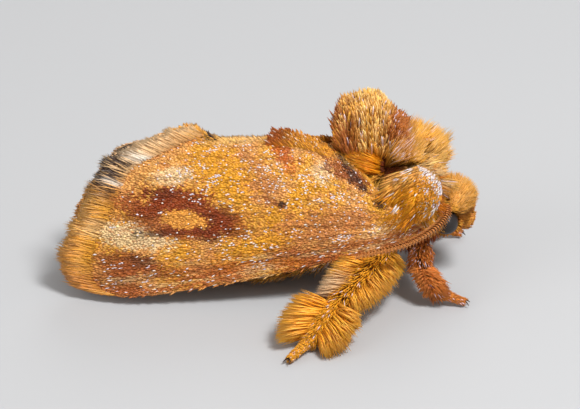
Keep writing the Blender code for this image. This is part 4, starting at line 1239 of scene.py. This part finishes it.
def tube(path, radius, sides, tone):
    """Round tube along a path with its own radius at each point, closed by shrinking to a point."""
    _, side, up = frames_along(path)
    angle = np.linspace(0, 2 * math.pi, sides + 1)
    radius = np.array(radius, float)
    radius[0] = radius[-1] = 1e-4
    across = np.cos(angle)[None, :, None] * side[:, None] * radius[:, None, None]
    upward = np.sin(angle)[None, :, None] * up[:, None] * radius[:, None, None]
    points = path[:, None] + across + upward
    rows = len(path)
    u, v = np.meshgrid(np.linspace(0.02, 0.98, rows), np.linspace(0.02, 0.98, sides + 1), indexing="ij")
    tones = np.broadcast_to(np.asarray(tone), (rows, 3))[:, None] * np.ones((1, sides + 1, 1))
    uvs = stack(u, v).reshape(-1, 2)
    return points.reshape(-1, 3), grid_faces(rows, sides + 1)[:, ::-1], tones.reshape(-1, 3), uvs


def antenna_parts(side, rng):
    """Feeler: a tapering shaft of joints, dark between them. Each joint has short teeth, spread over
    its upper half and leaning to the tip, that grow and then shrink along the feeler."""
    shares = np.linspace(0, 1, ANTENNA_JOINTS * 8 + 1)
    path = smooth_curve(mirrored(ANTENNA_PATH, side), shares)
    bead = 0.5 + 0.5 * np.cos(2 * math.pi * shares * ANTENNA_JOINTS)
    thick = 0.075 - 0.040 * shares
    shaft = tube(path, thick * (0.72 + 0.28 * (1 - bead) ** 0.5), 14, mix(FEELER_DARK, FEELER, 1 - bead))
    tangent, across, up = frames_along(path)
    at = np.repeat(np.arange(ANTENNA_JOINTS) * 8 + 5, ANTENNA_TEETH)
    wing = np.tile(np.linspace(-1, 1, ANTENNA_TEETH), ANTENNA_JOINTS)
    share = shares[at]
    spread = np.sin(wing * 1.5)[:, None] * across[at] + np.cos(wing * 1.5)[:, None] * up[at]
    root = path[at] + spread * (thick[at] * 0.72)[:, None]
    comb = (0.09 + 0.14 * step(0.0, 0.35, share)) * (1 - 0.5 * share)
    length = comb * (0.62 + 0.38 * np.abs(wing)) * rng.uniform(0.9, 1.06, len(at))
    way = spread * 0.95 + tangent[at] * 0.50
    colour = mix(FEELER, RUST, 0.35 * rng.random(len(at))) * rng.uniform(0.90, 1.08, len(at))[:, None]
    uv = stack(0.02 + 0.96 * share, 0.5 + 0.42 * wing)
    bend, flat = tangent[at] * 0.22, tangent[at]
    # Painted shade: the foot of each tooth, by the shaft, is painted at a third of the tooth's brightness.
    teeth = blades(root, way, bend, length, 0.032, 0.014, flat, colour * 0.32, colour, uv, 0.03, 0.1, 0.8)
    return shaft, teeth


def palp_parts(side, rng):
    """Palp: a short upturned tube under a coat of brown and orange scales."""
    path = smooth_curve(mirrored(PALP_PATH, side), np.linspace(0, 1, 30))
    radius = np.linspace(0.15, 0.06, 30)
    core = tube(path, radius, 14, CUTICLE)
    n = 700
    k = rng.integers(1, 28, n)
    turn = rng.uniform(0, 2 * math.pi, n)
    tangent, across, up = frames_along(path)
    out = np.cos(turn)[:, None] * across[k] + np.sin(turn)[:, None] * up[k]
    place = path[k] + out * radius[k][:, None]
    tone = mix(OCHRE, BROWN, rng.random(n)) * rng.uniform(0.8, 1.1, n)[:, None]
    uv = stack(0.02 + 0.96 * k / 30, 0.02 + 0.96 * turn / (2 * math.pi))
    way, length = tangent[k] + out * 0.35, rng.uniform(0.12, 0.20, n)
    # Painted shade: the foot of each scale is darker than its tip.
    scales = blades(place, way, 0, length, 0.05, 0.012, out, tone * 0.7, tone, uv, 0.02)
    return core, scales


def leg_path(kind, side, rows=91):
    """Middle line of a leg through its joints, with the radius at each point: each length swells
    gently, and the foot has five short joints."""
    joints = np.array([(x, -y, z) for x, y, z in LEGS[kind]["joints"]])
    joints = mirrored(joints, side)
    radii = LEGS[kind]["radii"]
    part = np.linspace(0, 3, rows)
    piece = np.clip(part.astype(int), 0, 2)
    k = part - piece
    path = joints[piece] + (joints[piece + 1] - joints[piece]) * k[:, None]
    radii = np.array(radii)
    radius = radii[piece] + (radii[piece + 1] - radii[piece]) * k
    foot = 0.82 + 0.18 * np.abs(np.sin(math.pi * 5 * k))
    swell = np.where(piece == 2, foot, 0.80 + 0.30 * np.sin(math.pi * k) ** 0.7)
    return path, radius * swell, joints


def leg_skin(kind, side, tone):
    """Leg from hip to foot with its two claws."""
    path, radius, joints = leg_path(kind, side)
    parts = [tube(path, radius, 16, tone)]
    toe, way = joints[-1], unit(joints[-1] - joints[-2])
    across = unit(np.cross(way, (0, 0, 1)))
    for turn in (-1, 1):
        k = np.linspace(0, 1, 10)[:, None]
        reach = way * np.array([1, 1, 0.2]) + across * 0.55 * turn
        hook = toe + reach * 0.20 * k + np.array([0, 0, 0.06]) * (np.sin(math.pi * k) - k)
        parts.append(tube(hook, np.linspace(0.035, 0.008, 10), 8, BLACKBROWN))
    return join(parts)


def leg_scales(kind, side, rng, count, colours):
    """Scales of a leg lying along it towards the foot, long on the femur and tibia and short on the
    foot, in the two given colours."""
    path, radius, joints = leg_path(kind, side, 301)
    tangent, across, up = frames_along(path)
    k = rng.integers(2, 298, count)
    turn = rng.uniform(0, 2 * math.pi, count)
    out = np.cos(turn)[:, None] * across[k] + np.sin(turn)[:, None] * up[k]
    place = path[k] + out * radius[k][:, None]
    foot = step(195, 215, k)
    length = rng.uniform(0.26, 0.46, count) * (1 - 0.60 * foot)
    way = tangent[k] + out * (rng.uniform(0.18, 0.62, count) * (1 - 0.4 * foot))[:, None]
    way = way + rng.normal(0, 0.08, (count, 3))
    tone = mix(colours[0], colours[1], np.clip(rng.random(count) + 0.6 * foot, 0, 1))
    tone = tone * rng.uniform(0.74, 1.24, count)[:, None]
    tone = mix(tone, LILAC, 0.7 * (rng.random(count) < 0.08))
    uv = stack(0.02 + 0.96 * k / 300, 0.02 + 0.96 * turn / (2 * math.pi))
    low = place[:, 2] + np.minimum(way[:, 2], 0) * length < 0.02
    length = np.where(low, length * 0.45, length)
    width = rng.uniform(0.026, 0.050, count)
    # Painted shade: the foot of each scale is darker than its tip.
    return blades(place, way, 0, length, width, 0.012, out, tone * 0.82, tone, uv, 0.03)


def leg_comb(kind, side, rng, colours, piece, way, length, count, pale=None):
    """Comb of long hairs along one length of a leg, leaning its own way and down the leg. pale is
    the share of the length from which the tips turn greyish white."""
    _, _, joints = leg_path(kind, side)
    start, end = joints[piece], joints[piece + 1]
    along = unit(end - start)
    way = mirrored(unit(way), side)
    k = rng.uniform(0.10, 0.90, count)
    across = unit(np.cross(way, along))
    place = start + (end - start) * k[:, None] + across * rng.normal(0, 0.07, count)[:, None]
    place = place + way * rng.uniform(0.02, 0.12, count)[:, None]
    tuft = noise(place, 0.16, 72)[:, None] - 0.5
    lean = way + along * ((k - 0.4) * 0.9 + 0.2)[:, None] + across * rng.normal(0, 0.13, count)[:, None]
    lean = lean + along * 0.6 * tuft + rng.normal(0, 0.045, (count, 3))
    hump = 0.72 + 0.28 * np.sin(math.pi * k)
    reach = length * hump * rng.uniform(0.55, 1.02, count)
    tone = mix(colours[0], colours[1], noise(place + way * 0.5, 0.28, 71))
    glow = 0.45 if kind == "midleg" else 0.10
    tone = mix(tone, DEEP_ORANGE, glow * rng.random(count) ** 2)
    tip = mix(tone, CREAM, (0.22 if kind == "midleg" else 0.08) * rng.random(count))
    if pale is not None:
        white = step(pale - 0.1, pale + 0.1, k)
        tone = mix(tone, GREY, 0.5 * white)
        tip = mix(tip, WHITE_FLUFF, white)
    # Painted light and shade between plumes: the brightness follows the tuft noise. Below, the foot of each
    # hair is a little darker than its tip as painted shade.
    shade = (rng.uniform(1.02, 1.26, count) * (1 + 0.36 * tuft[:, 0]))[:, None]
    end_height = place[:, 2] + unit(lean)[:, 2] * reach
    fall = np.maximum(place[:, 2] - end_height, 0.01)
    reach = np.where(end_height < 0.03, reach * np.clip((place[:, 2] - 0.03) / fall, 0.2, 1), reach)
    beside = np.clip(0.5 + rng.normal(0, 0.08, count), 0.02, 0.98)
    uv = stack(0.02 + 0.96 * (piece + k) / 3, beside)
    return blades(
        place, lean, along * 0.12, reach, rng.uniform(0.032, 0.062, count), 0.015, across,
        tone * 0.94 * shade, tip * shade, uv, end=0.05
    )


# Materials


def coat_material(name, roughness, bump=0.0, specular=0.4):
    """Principled surface in the mesh's own colours, with fine grain in colour and height."""
    made = bpy.data.materials.new(name)
    made.use_nodes = True
    nodes, links = made.node_tree.nodes, made.node_tree.links
    shader = nodes["Principled BSDF"]
    tone = nodes.new("ShaderNodeAttribute")
    tone.attribute_name = "tone"
    place = nodes.new("ShaderNodeTexCoord")
    grain = nodes.new("ShaderNodeTexNoise")
    grain.inputs["Scale"].default_value = 18000.0
    grain.inputs["Detail"].default_value = 3.0
    links.new(place.outputs["Object"], grain.inputs["Vector"])
    ramp = nodes.new("ShaderNodeMapRange")
    ramp.inputs["To Min"].default_value = 0.80
    ramp.inputs["To Max"].default_value = 1.20
    links.new(grain.outputs["Fac"], ramp.inputs["Value"])
    product = nodes.new("ShaderNodeVectorMath")
    product.operation = "SCALE"
    links.new(tone.outputs["Color"], product.inputs[0])
    links.new(ramp.outputs["Result"], product.inputs["Scale"])
    links.new(product.outputs["Vector"], shader.inputs["Base Color"])
    shader.inputs["Roughness"].default_value = roughness
    shader.inputs["Specular IOR Level"].default_value = specular
    if bump:
        height = nodes.new("ShaderNodeBump")
        height.inputs["Strength"].default_value = bump
        height.inputs["Distance"].default_value = 0.00002
        links.new(grain.outputs["Fac"], height.inputs["Height"])
        links.new(height.outputs["Normal"], shader.inputs["Normal"])
    return made


def dress(node, slot, *pieces):
    """Pieces that stand for one node, each given by the end of its name, its mesh and its material."""
    for ending, part, material in pieces:
        make(f"{node}_{ending}", part, material, [node])


def build():
    """All pieces of the moth, each riding on the root and standing for its nodes."""
    hair = coat_material("hair", 0.44, specular=0.28)
    scale = coat_material("wing_scale", 0.36, specular=0.36)
    skin = coat_material("skin", 0.70, bump=0.5)
    leg = coat_material("leg_cuticle", 0.35, bump=0.2)
    feeler = coat_material("feeler", 0.50)
    lens = coat_material("eye_lens", 0.24, specular=0.35)
    rng = np.random.default_rng(2026)
    make("body_skin", body_skin(), skin, ["head", "thorax", "abdomen"])
    mane = join([thorax_hair(rng, 13200), shoulder_tuft(rng, 4000)])
    ruff = [collar_hair(rng, 3400), side_hair(rng, 2200)]
    for side in (1, -1):
        ruff += [back_brush(rng, 1100, side), hip_hair(rng, 900, side), shoulder_hair(rng, 1100, side)]
    make("thorax_coat", mane, hair, ["thorax"])
    make("collar_coat", join(ruff), hair, ["thorax"])
    make("crest", crest_scales(rng, 6400), hair, ["thorax"])
    make("abdomen_coat", abdomen_hair(rng, 3200), hair, ["abdomen"])
    face = [head_hair(rng, 6000), nape_hair(rng, 2200), eye_rim(1, rng, 300), eye_rim(-1, rng, 300)]
    make("head_coat", join(face), hair, ["head"])
    for side, letter in ((1, "right"), (-1, "left")):
        span, width = (0.0, MEMBRANE_END), (0.0, 1.0)
        plate = membrane(side, MEMBRANE_DEPTH, span, width, MEMBRANE_THICKNESS, 110, 150, 1.0)
        dress(
            f"forewing_{letter}",
            "forewing_scales",
            ("membrane", plate, skin),
            ("scales", wing_scales(side, rng, 160, 140), scale),
            ("under", wing_scales(side, rng, 60, 45, True), scale),
            ("fringe", fringe(side, rng, 6600), scale),
            ("ridge_a", margin_hairs(side, rng, 2000), scale),
            ("ridge_b", ridge_tuft(side, rng, 1000), scale),
        )
        plate, scales = hindwing_parts(side, rng)
        dress(f"hindwing_{letter}", "hindwing_scales", ("membrane", plate, skin), ("scales", scales, scale))
        plate, scales = tegula_shell(side), tegula_scales(side, rng, 3600)
        dress(f"tegula_{letter}", "body_coat", ("shell", plate, skin), ("scales", scales, hair))
        dress(f"eye_{letter}", "eye", ("dome", eye_dome(side), lens))
        shaft, teeth = antenna_parts(side, rng)
        dress(f"antenna_{letter}", "antenna", ("shaft", shaft, feeler), ("comb", teeth, feeler))
        core, scales = palp_parts(side, rng)
        dress(f"palp_{letter}", "brown_legs", ("core", core, leg), ("scales", scales, hair))
        for kind, (slot, colours, count) in LEG_COATS.items():
            nodes = [f"{kind}_{part}_{letter}" for part in ("femur", "tibia", "tarsus")]
            coat = leg_scales(kind, side, rng, count, colours)
            fans = join([leg_comb(kind, side, rng, colours, *fan) for fan in LEG_FANS[kind]])
            make(f"{kind}_{letter}_skin", leg_skin(kind, side, CUTICLE), leg, nodes)
            make(f"{kind}_{letter}_scales", coat, hair, nodes)
            make(f"{kind}_{letter}_combs", fans, hair, nodes)


# Floor, light and camera


def stage():
    """Pale floor, soft studio lights and the camera at the photograph's angle."""
    floor_mesh = bpy.data.meshes.new("floor")
    half = 0.6
    corners = [(-half, -half, 0), (half, -half, 0), (half, half, 0), (-half, half, 0)]
    floor_mesh.from_pydata(corners, [], [(0, 1, 2, 3)])
    floor = bpy.data.objects.new("floor", floor_mesh)
    bpy.context.scene.collection.objects.link(floor)
    paint = bpy.data.materials.new("floor_paint")
    paint.use_nodes = True
    shader = paint.node_tree.nodes["Principled BSDF"]
    shader.inputs["Base Color"].default_value = (0.45, 0.455, 0.465, 1)
    shader.inputs["Roughness"].default_value = 0.9
    floor_mesh.materials.append(paint)
    lights = [
        ("key", (0.045, -0.050, 0.110), 0.032, 0.172),
        ("fill", (-0.100, -0.060, 0.060), 0.080, 0.038),
        ("back", (0.020, 0.100, 0.080), 0.060, 0.038),
    ]
    for name, where, size, energy in lights:
        lamp = bpy.data.lights.new(name, "AREA")
        lamp.size = size
        lamp.energy = energy
        light = bpy.data.objects.new(name, lamp)
        light.location = where
        light.rotation_mode = "QUATERNION"
        light.rotation_quaternion = (-Vector(where)).to_track_quat("-Z", "Y")
        bpy.context.scene.collection.objects.link(light)
    world = bpy.data.worlds.new("room")
    world.use_nodes = True
    sky = world.node_tree.nodes["Background"]
    sky.inputs["Color"].default_value = (1.0, 0.98, 0.96, 1)
    sky.inputs["Strength"].default_value = 0.43
    bpy.context.scene.world = world
    camera_data = bpy.data.cameras.new("camera")
    camera = bpy.data.objects.new("camera", camera_data)
    bpy.context.scene.collection.objects.link(camera)
    azimuth, elevation = 0.0, math.radians(28.0)
    scale = 36.0
    right = Vector((math.cos(azimuth), math.sin(azimuth), 0))
    level = math.cos(elevation)
    back = Vector((math.sin(azimuth) * level, -math.cos(azimuth) * level, math.sin(elevation)))
    up = back.cross(right)
    thorax = Vector((FORWARD_SHIFT * MM, 0, 2.58 * MM))
    centre = thorax + right * ((290 - 420) / scale * MM) - up * ((204.5 - 190) / scale * MM)
    camera_data.lens = 320.0
    camera_data.clip_start = 0.001
    camera_data.clip_end = 10.0
    camera.location = centre + back * (580 / scale * MM * camera_data.lens / 36.0)
    camera.rotation_mode = "QUATERNION"
    camera.rotation_quaternion = (-back).to_track_quat("-Z", "Y")
    bpy.context.scene.camera = camera
    bpy.context.scene.view_settings.view_transform = "Standard"


build()
stage()
